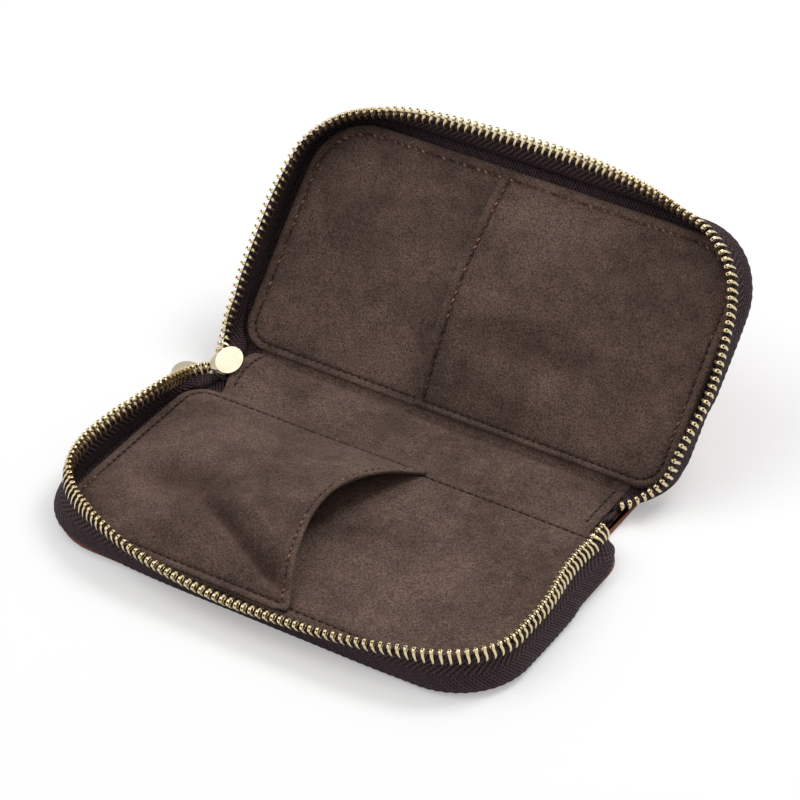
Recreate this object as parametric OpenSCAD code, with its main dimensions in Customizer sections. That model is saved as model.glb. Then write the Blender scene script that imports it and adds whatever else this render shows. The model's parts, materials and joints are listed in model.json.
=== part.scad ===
// Zip-around travel case for two watches, lying open: base half flat, lid half leaning up.
// X runs along the fold lines, +Y from the base half to the lid half, +Z up.
// The origin is the middle of the base half's underside. Millimetres.

/* [Halves] */
// Length of the case along its fold lines
case_l = 160; // [140:1:190]
// Depth of each half, from its fold line to its front edge
half_d = 85; // [75:1:105]
// Outline radius at the front corners
front_r = 22; // [18:0.5:28]
// Outline radius at the corners beside the spine
back_r = 12; // [10:0.5:15]
// Distance between the two fold lines, which sets the closed height
spine_w = 24; // [20:0.5:30]
// Length of the spine strip along the fold lines
spine_l = 142; // [120:1:150]
// Angle that the lid half leans up from flat
lid_tilt = 46; // [0:1:80]
// Gap left at each fold line between neighbouring leather pieces
fold_gap = 0.3; // [0.2:0.05:0.6]

/* [Layers] */
// Thickness of the outer leather
leather_t = 1.6; // [1.2:0.1:2.4]
// Thickness of the stiffening boards and of the zip tape beside them
board_t = 0.7; // [0.5:0.05:1]
// Thickness of the foam under the lining
foam_t = 0.9; // [0.6:0.1:2]
// Thickness of the suede lining and of the pockets
suede_t = 0.8; // [0.6:0.1:1.2]
// Distance from the leather's outline to the lining's edge
lining_in = 2.2; // [2:0.1:4]
// Distance from the leather's outline to the stitch line
seam_in = 5.5; // [5:0.1:8]
// Distance from a fold line to the lining's edge
fold_in = 2; // [1.8:0.1:4]
// Distance from a fold line to the stitch line
fold_seam = 4.5; // [4:0.1:7]

/* [Pockets] */
// Place of the base pocket's hem, from the middle of the case
base_hem_x = 10.5; // [-10:0.5:30]
// Place of the lid pocket's hem, from the middle of the case
lid_hem_x = -11; // [-30:0.5:10]
// Height that the base pocket's mouth stands open
base_mouth = 12; // [6:0.5:14]
// Height that the lid pocket's mouth stands open
lid_mouth = 7; // [5:0.5:12]
// How far the base hem draws back where it stands open
hem_draw = 11; // [0:0.5:14]

/* [Zip] */
// Distance from the leather's outline to the middle of the tape wall
tape_in = 1; // [0.8:0.1:1.4]
// Width of the tape sewn in flat between leather and lining
tape_foot = 4; // [3:0.1:5]
// Height of tape that stands upright before it starts to lean
tape_stub = 2; // [1.5:0.1:3]
// Length of tape from there to the middle of the teeth
tape_w = 9.7; // [8:0.1:10]
// The same length at the ends of the tape, where it runs down to the spine
tape_end_w = 3.5; // [3:0.1:5]
// Distance over which the tape grows to its full width
tape_grow = 6; // [4:0.5:15]
// Angle round each corner beside the spine that carries no tape
tape_start = 60; // [50:1:80]
// Pitch of the zip teeth
tooth_pitch = 2.5; // [2.2:0.05:3]
// Thickness of one tooth along the zip
tooth_t = 1.3; // [1:0.05:1.4]
// Gap between a tooth's prongs, which grip the tape's cord
tooth_grip = 1.4; // [1.3:0.05:1.8]

/* [Slider] */
// Length of the slider body
slider_l = 9; // [8:0.1:11]
// Width of the slider body
slider_w = 8.4; // [7.8:0.1:10]
// Half the height of the channel inside the slider
channel_h = 1.15; // [1.1:0.05:1.5]
// Thickness of the slider's two plates
plate_t = 0.75; // [0.7:0.05:1.2]
// Angle that the slider rolls towards the base half
slider_roll = 12; // [0:1:16]
// Distance that the slider's back end stands clear of the spine lining
slider_out = 2.3; // [2:0.1:4]
// Distance of the slider from the middle of the spine, towards the base half
slider_y = 2.3; // [0:0.1:3]
// Height of the slider's centre above the ground
slider_z = 5; // [4.9:0.1:6]
// Free height under the bail that holds the inner pull
inner_open = 1.6; // [1.6:0.1:2]
// Free height under the bail that holds the outer pull
outer_open = 1; // [1:0.1:1.4]
// Diameter of the round inner pull
disc_d = 9.4; // [8:0.1:12]
// Angle that the inner pull tips sideways on its bail
disc_tip = 20; // [0:1:20]
// Length of the outer pull from its pin to its tip
paddle_l = 17; // [14:0.5:20]
// Angle that the outer pull swings sideways towards the base half
paddle_yaw = 28; // [0:1:30]
// Diameter of the outer pull's round end
paddle_d = 9; // [7:0.1:11]

/* [Hidden] */

$fn = 48;
eps = 0.01;

leather_col = "#9c4a26";
suede_col = "#5a4a44";
board_col = "#b9a58a";
foam_col = "#8a8582";
tape_col = "#2f2428";
brass_col = "#b79a5c";
gold_col = "#d9cfb2";

// Layer heights in each half, above the leather's outer face
board_z = leather_t;
seam_z = leather_t + board_t;
lining_top = seam_z + foam_t + suede_t;
// The fold axis lies just above the leather's inner face
axis_lift = 0.2;
axis_z = leather_t + axis_lift;
fold_y = half_d / 2;
lid_fold_y = fold_y + spine_w;

// ---- Placing the two halves ----------------------------------------------------------------
// Both halves are drawn the same way up: x along the fold, y away from it, z up from the leather.

module on_base() translate([0, fold_y, 0]) mirror([0, 1, 0]) children();

module on_lid() translate([0, lid_fold_y, axis_z]) rotate([lid_tilt, 0, 0])
    translate([0, 0, -axis_z]) children();

// ---- Outline shared by every layer of a half ------------------------------------------------
// inset is measured in from the leather's outline, back from the fold line. The corners beside the spine
// turn round one line at back_r from the fold, where the zip tape turns too.
module half_shape(inset, back) {
    rb = back_r - back;
    rf = front_r - inset;
    x = case_l / 2 - inset;
    y = half_d - inset;
    for (side = [-1, 1]) {
        translate([side * (x - rb), back + rb]) circle(rb);
        translate([side * (x - rf), y - rf]) circle(rf);
    }
    polygon([[-x, back + rb], [-x + rb, back], [x - rb, back], [x, back + rb],
             [x, y - rf], [x - rf, y], [-x + rf, y], [-x, y - rf]]);
}

module half_layer(z, t, inset, back) translate([0, 0, z]) linear_extrude(t) half_shape(inset, back);

module leather_panel() color(leather_col) half_layer(0, leather_t, 0, fold_gap / 2);

// The board fills the space inside the sewn-in tape
board_in = tape_in + tape_foot + 0.4;
module board_panel() color(board_col) half_layer(board_z, board_t, board_in, fold_in + 0.5);

// The foam lies in a recess of the lining, inside the stitch line
foam_gap = 1;
module foam_panel() color(foam_col) half_layer(seam_z, foam_t, seam_in + foam_gap, fold_seam + foam_gap);

// The lining's edge is turned under, so its border is as thick as foam and suede together
module lining_panel() color(suede_col) difference() {
    half_layer(seam_z, lining_top - seam_z, lining_in, fold_in);
    half_layer(seam_z - eps, foam_t + eps, seam_in + foam_gap, fold_seam + foam_gap);
}

// ---- Pockets ---------------------------------------------------------------------------------
pocket_in = lining_in + 0.4;
pocket_back = fold_in + 0.4;
pocket_nx = 16;
pocket_ny = 16;

// Back and front limits of the pocket at a distance x from the middle of the case
function corner_drop(x, x_c, r) = x <= x_c ? 0 : r - sqrt(max(0, r * r - pow(x - x_c, 2)));
function pocket_lo(x) = let (r = back_r - pocket_back)
    pocket_back + corner_drop(x, case_l / 2 - pocket_in - r, r);
function pocket_hi(x) = let (r = front_r - pocket_in)
    half_d - pocket_in - corner_drop(x, case_l / 2 - pocket_in - r, r);
// Share of the mouth's height, 0 at the stitch line and 1 in the middle of the hem
function clamp01(t) = min(1, max(0, t));
function pocket_rise(x, y, hem, power) = let (
    along = clamp01((case_l / 2 - seam_in - 1 - x) / (case_l / 2 - seam_in - 1 - hem)),
    lo = pocket_lo(x) + seam_in - pocket_in,
    hi = pocket_hi(x) - seam_in + pocket_in,
    across = clamp01((y - lo) / (hi - lo)))
    pow(along, power) * pow(sin(180 * across), 0.9);

// side is -1 for a pocket over the left of the case and 1 for one over the right
module pocket(side, hem, mouth, draw, power) {
    far_x = case_l / 2 - pocket_in;
    pts = [for (i = [0 : pocket_nx], j = [0 : pocket_ny]) let (
        u = i / pocket_nx,
        x_flat = hem + (far_x - hem) * u,
        y = pocket_lo(x_flat) + (pocket_hi(x_flat) - pocket_lo(x_flat)) * j / pocket_ny,
        rise = pocket_rise(x_flat, y, hem, power),
        x = x_flat + draw * rise * pow(1 - u, 2))
        [side * x, y, lining_top + mouth * rise]];
    count = len(pts);
    all = concat(pts, [for (p = pts) p + [0, 0, suede_t]]);
    row = pocket_ny + 1;
    function at(i, j, k) = k * count + i * row + j;
    function tri_pair(a, b, c, d) = side > 0 ? [[a, b, c], [a, c, d]] : [[a, c, b], [a, d, c]];
    sheets = [for (i = [0 : pocket_nx - 1], j = [0 : pocket_ny - 1], k = [0, 1])
        each k == 1 ? tri_pair(at(i, j, 1), at(i, j + 1, 1), at(i + 1, j + 1, 1), at(i + 1, j, 1))
                    : tri_pair(at(i, j, 0), at(i + 1, j, 0), at(i + 1, j + 1, 0), at(i, j + 1, 0))];
    ends = [for (j = [0 : pocket_ny - 1], i = [0, pocket_nx])
        each i == 0 ? tri_pair(at(i, j, 0), at(i, j + 1, 0), at(i, j + 1, 1), at(i, j, 1))
                    : tri_pair(at(i, j, 0), at(i, j, 1), at(i, j + 1, 1), at(i, j + 1, 0))];
    edges = [for (i = [0 : pocket_nx - 1], j = [0, pocket_ny])
        each j == 0 ? tri_pair(at(i, j, 0), at(i, j, 1), at(i + 1, j, 1), at(i + 1, j, 0))
                    : tri_pair(at(i, j, 0), at(i + 1, j, 0), at(i + 1, j, 1), at(i, j, 1))];
    color(suede_col) polyhedron(all, concat(sheets, ends, edges));
}

// ---- Path of the zip round a half --------------------------------------------------------------
foot_rb = back_r - tape_in;
foot_rf = front_r - tape_in;
arc_b = foot_rb * PI * (90 - tape_start) / 180;
side_run = half_d - back_r - front_r;
arc_f = foot_rf * PI / 2;
front_run = case_l - 2 * front_r;
run = 2 * (arc_b + side_run + arc_f) + front_run;

// The open zip's wall round each half: [share of the run, lean outwards from upright in degrees, bulge in mm]
base_wall = [[0, -8, 1], [0.06, -2, 0], [0.12, 13, 0], [0.165, 14, 0], [0.24, -17, 4], [0.285, -15, 5],
             [0.32, 9, 3], [0.36, 30, 1], [0.41, 46, 0], [0.48, 55, 0], [0.56, 49, 0], [0.64, 34, 0],
             [0.69, 16, 1], [0.73, 2, 1.5], [0.8, -2, 1], [0.86, -4, 0.5], [0.92, -20, 1.5], [1, -30, 3]];
lid_wall = [[0, 8, 0], [0.09, 10, 0], [0.15, 9, 0], [0.21, -4, 1], [0.25, -9, 2], [0.29, 0, 1],
            [0.335, 25, 0], [0.38, 40, 0], [0.45, 51, 0], [0.53, 56, 0], [0.59, 46, 0], [0.65, 26, 0],
            [0.69, 6, 1], [0.74, -8, 2], [0.79, -2, 1], [0.83, 14, 0], [0.9, 27, 0], [0.97, 12, 0], [1, 4, 0]];

// Smooth curve through one column of the keys, with the slope at each key taken from its neighbours
function key_slope(keys, i, col) = let (a = keys[max(i - 1, 0)], b = keys[min(i + 1, len(keys) - 1)])
    (b[col] - a[col]) / (b[0] - a[0]);
function through(keys, f, col, i = 0) = i < len(keys) - 2 && f > keys[i + 1][0] ? through(keys, f, col, i + 1) :
    let (a = keys[i], b = keys[i + 1], w = b[0] - a[0], t = clamp01((f - a[0]) / w))
    a[col] * (1 + 2 * t) * pow(1 - t, 2) + b[col] * t * t * (3 - 2 * t)
    + w * t * (1 - t) * ((1 - t) * key_slope(keys, i, col) - t * key_slope(keys, i + 1, col));

// Foot of the wall at a distance u along the run: [x, y, outward x, outward y]
function foot_half(u) =
    u < arc_b ? let (a = tape_start + u / foot_rb * 180 / PI)
        [back_r - case_l / 2 - foot_rb * sin(a), back_r - foot_rb * cos(a), -sin(a), -cos(a)] :
    u < arc_b + side_run ? [tape_in - case_l / 2, back_r + u - arc_b, -1, 0] :
    u < arc_b + side_run + arc_f ? let (a = (u - arc_b - side_run) / foot_rf * 180 / PI)
        [front_r - case_l / 2 - foot_rf * cos(a), half_d - front_r + foot_rf * sin(a), -cos(a), sin(a)] :
    [front_r - case_l / 2 + u - arc_b - side_run - arc_f, half_d - tape_in, 0, 1];
function foot(u) = u <= run / 2 ? foot_half(u) : let (f = foot_half(run - u)) [-f[0], f[1], -f[2], f[3]];

// Length of free tape, shorter towards the ends of the run
function free_w(u) = tape_w - (tape_w - tape_end_w) * exp(-min(u, run - u) / tape_grow);

// A point of the wall's section: q outwards from the foot, h up
function in_half(u, q, h) = let (f = foot(u)) [f[0] + q * f[2], f[1] + q * f[3], h];

tape_mid = leather_t + board_t / 2;
lean_z = tape_mid + tape_stub;
function lean(keys, u) = through(keys, u / run, 1);
function bulge(keys, u) = through(keys, u / run, 2);
function tooth_mid(keys, u) = let (a = lean(keys, u), w = free_w(u)) in_half(u, w * sin(a), lean_z + w * cos(a));

// ---- Zip tape --------------------------------------------------------------------------------------
// The cord woven into the tape's edge lies between the prongs with a gap, and stops short of the tooth's head
cord_gap = 0.3;
cord_half = tooth_grip / 2 - cord_gap;
cord_stop = 0.45;
cord_w = 2;

// Middle line of the section: flat foot, a bend, a rise that bulges and eases into the lean, and the cord
function section_mid(keys, u) = let (
    a = lean(keys, u), dir = [sin(a), cos(a)], w = free_w(u),
    p0 = [0, tape_mid], p2 = [0, lean_z] + dir * (w - cord_stop - cord_w), p1 = [bulge(keys, u), lean_z])
    concat([[-tape_foot, tape_mid], [-0.5, tape_mid]],
           [for (t = [0.25, 0.5, 0.75, 1]) p0 * pow(1 - t, 2) + p1 * 2 * t * (1 - t) + p2 * t * t],
           [p2 + dir * 0.25, p2 + dir * cord_w]);

function unit(v) = v / norm(v);
function half_thick(k) = k < 6 ? board_t / 2 : cord_half;
function section(keys, u) = let (
    m = section_mid(keys, u), last = len(m) - 1,
    d = [for (k = [0 : last]) unit(m[min(k + 1, last)] - m[max(k - 1, 0)])],
    n = [for (k = [0 : last]) k == 0 ? [0, 1] : [-d[k][1], d[k][0]]])
    concat([for (k = [0 : last]) m[k] + n[k] * half_thick(k)],
           [for (k = [last : -1 : 0]) m[k] - n[k] * half_thick(k)]);

// Stations: close together round the corners, wider on the straights
function stations() = let (
    a = arc_b, b = a + side_run, c = b + arc_f, half = run / 2)
    [for (s = [[0, a, 3], [a, b, 11], [b, c, 10], [c, half, 12]])
        for (k = [0 : s[2] - 1]) s[0] + (s[1] - s[0]) * k / s[2]];

module zip_tape(keys) {
    half_st = stations();
    st = concat(half_st, [run / 2], [for (k = [len(half_st) - 1 : -1 : 0]) run - half_st[k]]);
    ring = len(section(keys, 0));
    rings = len(st);
    pts = [for (u = st) for (p = section(keys, u)) in_half(u, p[0], p[1])];
    side_faces = [for (i = [0 : rings - 2], k = [0 : ring - 1]) let (
        a = i * ring + k, b = i * ring + (k + 1) % ring, c = b + ring, d = a + ring)
        each [[a, b, c], [a, c, d]]];
    strip = ring / 2 - 1;
    start_cap = [for (k = [0 : strip - 1]) let (a = k, b = k + 1, c = ring - 2 - k, d = ring - 1 - k)
        each [[a, c, b], [a, d, c]]];
    last = (rings - 1) * ring;
    end_cap = [for (k = [0 : strip - 1]) let (a = last + k, b = a + 1, c = last + ring - 2 - k, d = c + 1)
        each [[a, b, c], [a, c, d]]];
    color(tape_col) polyhedron(pts, concat(side_faces, start_cap, end_cap));
}

// ---- Zip teeth ---------------------------------------------------------------------------------------
// One tooth, drawn with its grip along y, its thickness along z: two prongs, a waist and a rounded head
head_w = 2.2;
prong_l = 2.2;
module tooth() {
    out = tooth_grip / 2 + 0.6;
    in = tooth_grip / 2;
    linear_extrude(tooth_t, center = true) polygon([
        [in, -prong_l], [out - 0.1, -prong_l], [out, -0.6], [head_w / 2 - 0.1, 0.2], [head_w / 2 - 0.35, 0.8],
        [head_w / 2 - 0.2, 1.3], [head_w / 4, 1.8], [-head_w / 4, 1.8], [-head_w / 2 + 0.2, 1.3],
        [-head_w / 2 + 0.35, 0.8], [-head_w / 2 + 0.1, 0.2], [-out, -0.6], [-out + 0.1, -prong_l],
        [-in, -prong_l], [-in, -0.2], [in, -0.2]]);
    translate([0, 1.1, tooth_t / 2 - eps]) cylinder(h = 0.35, r1 = 0.4, r2 = 0.25, $fn = 16);
}

// Teeth stand at equal steps along the line of the teeth itself, each square to that line
row_steps = 240;
// Least distance from the middle of a row's last tooth to the end of the tape
row_margin = 2.8;
module teeth_row(keys) {
    mids = [for (i = [0 : row_steps]) tooth_mid(keys, run * i / row_steps)];
    steps = [for (i = [1 : row_steps]) norm(mids[i] - mids[i - 1])];
    sums = [for (i = 0, s = 0; i <= row_steps; s = s + (i < row_steps ? steps[i] : 0), i = i + 1)
        [s, run * i / row_steps]];
    total = sums[row_steps][0];
    count = floor((total - 2 * row_margin) / tooth_pitch) + 1;
    start = (total - (count - 1) * tooth_pitch) / 2;
    color(brass_col) for (k = [0 : count - 1]) {
        u = lookup(start + k * tooth_pitch, sums);
        a = lean(keys, u);
        f = foot(u);
        mid = tooth_mid(keys, u);
        lean_dir = [f[2] * sin(a), f[3] * sin(a), cos(a)];
        along = unit(tooth_mid(keys, min(u + 0.5, run)) - tooth_mid(keys, max(u - 0.5, 0)));
        up = unit(lean_dir - along * (lean_dir * along));
        across = cross(up, along);
        multmatrix([[across[0], up[0], along[0], mid[0]],
                    [across[1], up[1], along[1], mid[1]],
                    [across[2], up[2], along[2], mid[2]],
                    [0, 0, 0, 1]]) tooth();
    }
}

// ---- Spine ----------------------------------------------------------------------------------------------
// The spine's lining stops short of the leather at both ends
lining_l = spine_l - 9;
tongue_in = 6;
module spine_strip(l, back, z, t) translate([-l / 2, fold_y + back, z]) cube([l, spine_w - 2 * back, t]);

// The tapes' ends are sewn in as tongues between leather and lining, and come out past the lining's end
spine_mid_y = fold_y + spine_w / 2;
tail_w = 5;
tail_y = 4;
module tape_tail(y) {
    translate([lining_l / 2 - tongue_in, spine_mid_y + y - tail_w / 2, board_z])
        cube([tongue_in + 0.5, tail_w, board_t]);
    translate([lining_l / 2 + 0.5, spine_mid_y + y + tail_w / 2, 0]) rotate([90, 0, 0]) linear_extrude(tail_w)
        polygon([[0, board_z], [0.4, board_z], [2.6, board_z + 2.6], [2.6, board_z + 3.4], [2.1, board_z + 3.4],
                 [0, board_z + board_t]]);
}

// ---- Slider ------------------------------------------------------------------------------------------------
slider_x = -lining_l / 2 - slider_out - slider_l / 2;
module at_slider() translate([slider_x, spine_mid_y - slider_y, slider_z])
    rotate([slider_roll, 0, 0]) children();
// The same move for a single point
function slider_point(p) = let (c = cos(slider_roll), s = sin(slider_roll))
    [slider_x + p[0], spine_mid_y - slider_y + p[1] * c - p[2] * s, slider_z + p[1] * s + p[2] * c];

// Behind its post the slider still holds the last joined teeth, between the edges of the two tapes
chain_half_w = 2.5;
chain_half_t = 1;
stub_half_w = 5;
post_x = -2.4;
chain_x = post_x + 2.4;

// One tape edge from under the spine's lining, up the ramp and into the slider's channel; a and b are its sides
module tape_edge(a, b) {
    flat = [for (x = [tongue_in, -0.4]) let (place = [x - lining_l / 2, spine_mid_y, board_z + board_t / 2])
        [for (c = [[a, -1], [b, -1], [b, 1], [a, 1]]) place + [0, c[0], c[1] * board_t / 2]]];
    rolled = [for (x = [slider_l / 2 + 0.3, chain_x])
        [for (c = [[a, -1], [b, -1], [b, 1], [a, 1]]) slider_point([x, c[0], c[1] * board_t / 2])]];
    rings = concat(flat, rolled);
    last = 4 * (len(rings) - 1);
    polyhedron([for (r = rings) for (p = r) p],
        concat([[3, 2, 1], [3, 1, 0]], [for (i = [0 : 4 : last - 4], k = [0 : 3]) let (n = (k + 1) % 4)
            each [[i + k, i + n, i + n + 4], [i + k, i + n + 4, i + k + 4]]],
            [[last, last + 1, last + 2], [last, last + 2, last + 3]]));
}

module plate_shape() {
    translate([-slider_l / 2 + 2.4, 0]) circle(2.4);
    translate([slider_l / 2 - 1.5, -slider_w / 2 + 2]) circle(1.5);
    translate([slider_l / 2 - 1.5, slider_w / 2 - 2]) circle(1.5);
    polygon([[-slider_l / 2 + 2.4, -slider_w / 2], [slider_l / 2 - 1.5, -slider_w / 2 + 0.5],
             [slider_l / 2, -slider_w / 2 + 2], [slider_l / 2, slider_w / 2 - 2],
             [slider_l / 2 - 1.5, slider_w / 2 - 0.5], [-slider_l / 2 + 2.4, slider_w / 2],
             [-slider_l / 2 + 1, slider_w / 2 - 1.6], [-slider_l / 2, 0], [-slider_l / 2 + 1, -slider_w / 2 + 1.6]]);
}

// Bail that holds a pull: an arch along the slider, with open the free height under it
bail_half_l = 2.2;
bail_w = 1.2;
bail_t = 0.6;
plate_top = channel_h + plate_t;
module bail(open) translate([0, bail_w / 2, plate_top]) rotate([90, 0, 0]) linear_extrude(bail_w) difference() {
    polygon([[-bail_half_l, 0], [bail_half_l, 0], [bail_half_l, open + bail_t - 0.4],
             [bail_half_l - 0.4, open + bail_t], [-bail_half_l + 0.4, open + bail_t],
             [-bail_half_l, open + bail_t - 0.4]]);
    translate([-bail_half_l + bail_t, -eps]) square([2 * (bail_half_l - bail_t), open + eps]);
}

// Pins of the pulls, inside the bails' openings
pin_r = 0.35;
inner_pin_x = -bail_half_l + bail_t + pin_r + 0.15;
inner_pin_z = plate_top + 1;
outer_bail_x = -0.8;
outer_pin_z = -plate_top - outer_open / 2;

// ---- Sub-parts -----------------------------------------------------------------------------------------------
module base_leather() on_base() leather_panel();
module base_board() on_base() board_panel();
module base_foam() on_base() foam_panel();
module base_lining() on_base() lining_panel();
module base_pocket() on_base() pocket(-1, -base_hem_x, base_mouth, hem_draw, 0.8);
module base_tape() on_base() zip_tape(base_wall);
module base_teeth() on_base() teeth_row(base_wall);

module lid_leather() on_lid() leather_panel();
module lid_board() on_lid() board_panel();
module lid_foam() on_lid() foam_panel();
module lid_lining() on_lid() lining_panel();
module lid_pocket() on_lid() pocket(1, lid_hem_x, lid_mouth, 0, 1.2);
module lid_tape() on_lid() zip_tape(lid_wall);
module lid_teeth() on_lid() teeth_row(lid_wall);

module spine_leather() color(leather_col) spine_strip(spine_l, fold_gap / 2, 0, leather_t);
module spine_board() color(board_col) spine_strip(lining_l - 2 * tongue_in - 1, fold_in + 0.5, board_z, board_t);
module spine_lining() color(suede_col) spine_strip(lining_l, fold_in, seam_z, suede_t);

module zip_stub() color(tape_col) {
    tape_edge(-stub_half_w, -chain_half_w);
    tape_edge(chain_half_w, stub_half_w);
}

// Each joined tooth is gripped by one tape, so they stand out to either side in turn
chain_step = tooth_pitch / 2;
module joined_teeth() color(brass_col) at_slider() for (k = [0 : 3])
    translate([chain_x + k * chain_step, k % 2 == 0 ? -chain_half_w : 0.6 - chain_half_w, -chain_half_t])
        cube([chain_step - 0.15, 2 * chain_half_w - 0.6, 2 * chain_half_t]);

module zip_tails() color(tape_col) for (side = [-1, 1]) tape_tail(side * tail_y);

// The slider is one casting: two plates with turned-in edges, joined by the post that parts the teeth
edge_w = 0.8;
edge_gap = 0.55;
post_sink = 0.1;
module slider_body() color(gold_col) at_slider() {
    for (up = [0, 1]) mirror([0, 0, up]) {
        translate([0, 0, channel_h]) linear_extrude(plate_t) plate_shape();
        for (side = [0, 1]) mirror([0, side, 0]) translate([-0.5, slider_w / 2 - edge_w, edge_gap])
            cube([slider_l / 2 - 1, edge_w, channel_h - edge_gap + eps]);
    }
    translate([post_x, 0, -channel_h - post_sink]) linear_extrude(2 * (channel_h + post_sink))
        polygon([[-1.6, 0], [0, -1.3], [1.6, 0], [0, 1.3]]);
}

module inner_bail() color(gold_col) at_slider() bail(inner_open);
module outer_bail() color(gold_col) at_slider() translate([outer_bail_x, 0, 0]) mirror([0, 0, 1]) bail(outer_open);

lug_t = 0.7;
lug_gap = 0.6;
lug_in = bail_w / 2 + lug_gap;
lug_l = 1.6;
disc_t = 0.9;
disc_lift = 1.5;
module inner_pull() color(gold_col) at_slider() translate([inner_pin_x, 0, inner_pin_z]) rotate([disc_tip, 0, 0]) {
    rotate([90, 0, 0]) cylinder(h = 2 * (lug_in + lug_t), r = pin_r, center = true);
    for (side = [-1, 1]) translate([-pin_r, side > 0 ? lug_in : -lug_in - lug_t, -pin_r])
        cube([lug_l, lug_t, disc_lift + pin_r + eps]);
    translate([disc_d / 2 - 0.4, 0, disc_lift]) cylinder(h = disc_t, d = disc_d);
}

// The outer pull hangs under the slider and lies beside the case: an eye round the bail, a neck and a round end
paddle_t = 0.9;
eye_in = 2.3;
eye_bar = 0.7;
eye_l = 3.4;
neck_w = 5.2;
module outer_pull() color(gold_col) at_slider() translate([outer_bail_x, 0, outer_pin_z]) rotate([0, 0, paddle_yaw]) {
    end_x = paddle_d / 2 - paddle_l;
    rotate([90, 0, 0]) cylinder(h = 2 * (eye_in + eye_bar), r = pin_r, center = true);
    for (side = [-1, 1]) translate([-eye_l - eye_bar, side > 0 ? eye_in : -eye_in - eye_bar, -pin_r])
        cube([eye_l + eye_bar, eye_bar, 2 * pin_r]);
    translate([0, 0, -paddle_t + pin_r]) linear_extrude(paddle_t) {
        translate([end_x, 0]) circle(paddle_d / 2);
        polygon([[-eye_l, -eye_in - eye_bar], [-eye_l, eye_in + eye_bar], [-eye_l - 3, neck_w / 2],
                 [end_x + 1.5, paddle_d / 2 - 0.3], [end_x, 0], [end_x + 1.5, -paddle_d / 2 + 0.3],
                 [-eye_l - 3, -neck_w / 2]]);
    }
}

base_leather();
base_board();
base_foam();
base_lining();
base_pocket();
base_tape();
base_teeth();
spine_leather();
spine_board();
spine_lining();
zip_stub();
joined_teeth();
zip_tails();
lid_leather();
lid_board();
lid_foam();
lid_lining();
lid_pocket();
lid_tape();
lid_teeth();
slider_body();
inner_bail();
outer_bail();
inner_pull();
outer_pull();
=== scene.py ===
"""Zip-around travel case for two watches, lying open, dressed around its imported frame.

Lengths in the functions are millimetres; the meshes are made in metres. A point of a half is
(x along the fold, y away from the fold, z up from the leather's outer face).
"""

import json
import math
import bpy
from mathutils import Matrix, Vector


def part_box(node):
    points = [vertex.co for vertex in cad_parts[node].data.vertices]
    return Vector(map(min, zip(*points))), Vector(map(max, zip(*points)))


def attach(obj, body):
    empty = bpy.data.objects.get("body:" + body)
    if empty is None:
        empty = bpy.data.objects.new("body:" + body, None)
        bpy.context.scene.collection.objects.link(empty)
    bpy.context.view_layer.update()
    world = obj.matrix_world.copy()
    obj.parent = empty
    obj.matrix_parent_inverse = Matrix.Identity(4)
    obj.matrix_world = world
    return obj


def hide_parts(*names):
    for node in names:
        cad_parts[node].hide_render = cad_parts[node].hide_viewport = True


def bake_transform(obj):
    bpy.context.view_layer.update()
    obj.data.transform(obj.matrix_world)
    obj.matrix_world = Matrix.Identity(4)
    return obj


bl_info = {
    "name": "Watch travel case",
    "version": (1, 0, 0),
    "blender": (4, 5, 0),
    "location": "3D View > Sidebar > Watch case",
    "description": "Builds the leather, suede, zip and thread of an open zip-around case",
    "category": "Add Mesh",
}

from functools import partial

import bmesh
import bpy
import numpy as np
from mathutils import Vector

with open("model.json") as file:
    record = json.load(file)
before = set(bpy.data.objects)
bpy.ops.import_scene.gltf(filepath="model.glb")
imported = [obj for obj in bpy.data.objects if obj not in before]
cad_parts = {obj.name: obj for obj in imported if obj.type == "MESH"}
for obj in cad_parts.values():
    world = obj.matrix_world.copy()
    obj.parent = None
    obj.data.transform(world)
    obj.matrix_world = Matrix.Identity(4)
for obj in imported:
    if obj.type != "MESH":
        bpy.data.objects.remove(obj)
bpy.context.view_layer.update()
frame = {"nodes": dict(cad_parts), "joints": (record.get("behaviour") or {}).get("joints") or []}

MM = 0.001


# ---- Measures taken from the frame ---------------------------------------------------------------


def node_box(node):
    """Lowest and highest corner of a CAD node in millimetres."""
    low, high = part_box(node)
    return np.array(low) / MM, np.array(high) / MM


def joint(name):
    """A joint of the frame."""
    return next(j for j in frame["joints"] if j["name"] == name)


LEATHER_BOX = node_box("base_leather")
CASE_L = LEATHER_BOX[1][0] - LEATHER_BOX[0][0]
FOLD_Y = joint("base_fold")["pos_m"][1] / MM
LID_FOLD_Y = joint("lid_fold")["pos_m"][1] / MM
AXIS_Z = joint("lid_fold")["pos_m"][2] / MM
TILT = -math.radians(joint("lid_fold")["range_deg"][0])
HALF_D = FOLD_Y - LEATHER_BOX[0][1]
SPINE_L = node_box("spine_leather")[1][0] * 2
LINING_L = node_box("spine_lining")[1][0] * 2
SPINE_MID = (FOLD_Y + LID_FOLD_Y) / 2
LEATHER_T = LEATHER_BOX[1][2]
SEAM_Z, LINING_TOP = node_box("base_lining")[0][2], node_box("base_lining")[1][2]
SPINE_TOP = node_box("spine_lining")[1][2]


# ---- Sizes and colours that a user would change --------------------------------------------------


def linear(code):
    """An sRGB hex colour as linear RGB."""
    parts = [int(code[i : i + 2], 16) / 255 for i in (1, 3, 5)]
    return tuple(c / 12.92 if c <= 0.04045 else ((c + 0.055) / 1.055) ** 2.4 for c in parts)


def length(name, description, default_mm):
    """A length that a user may change, given in millimetres."""
    return bpy.props.FloatProperty(
        name=name, description=description, default=default_mm * MM, unit="LENGTH", min=0, precision=5
    )


def colour(name, description, code):
    """A colour that a user may change, given as an sRGB hex value."""
    return bpy.props.FloatVectorProperty(
        name=name, description=description, default=linear(code), subtype="COLOR", size=3, min=0, max=1
    )


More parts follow.
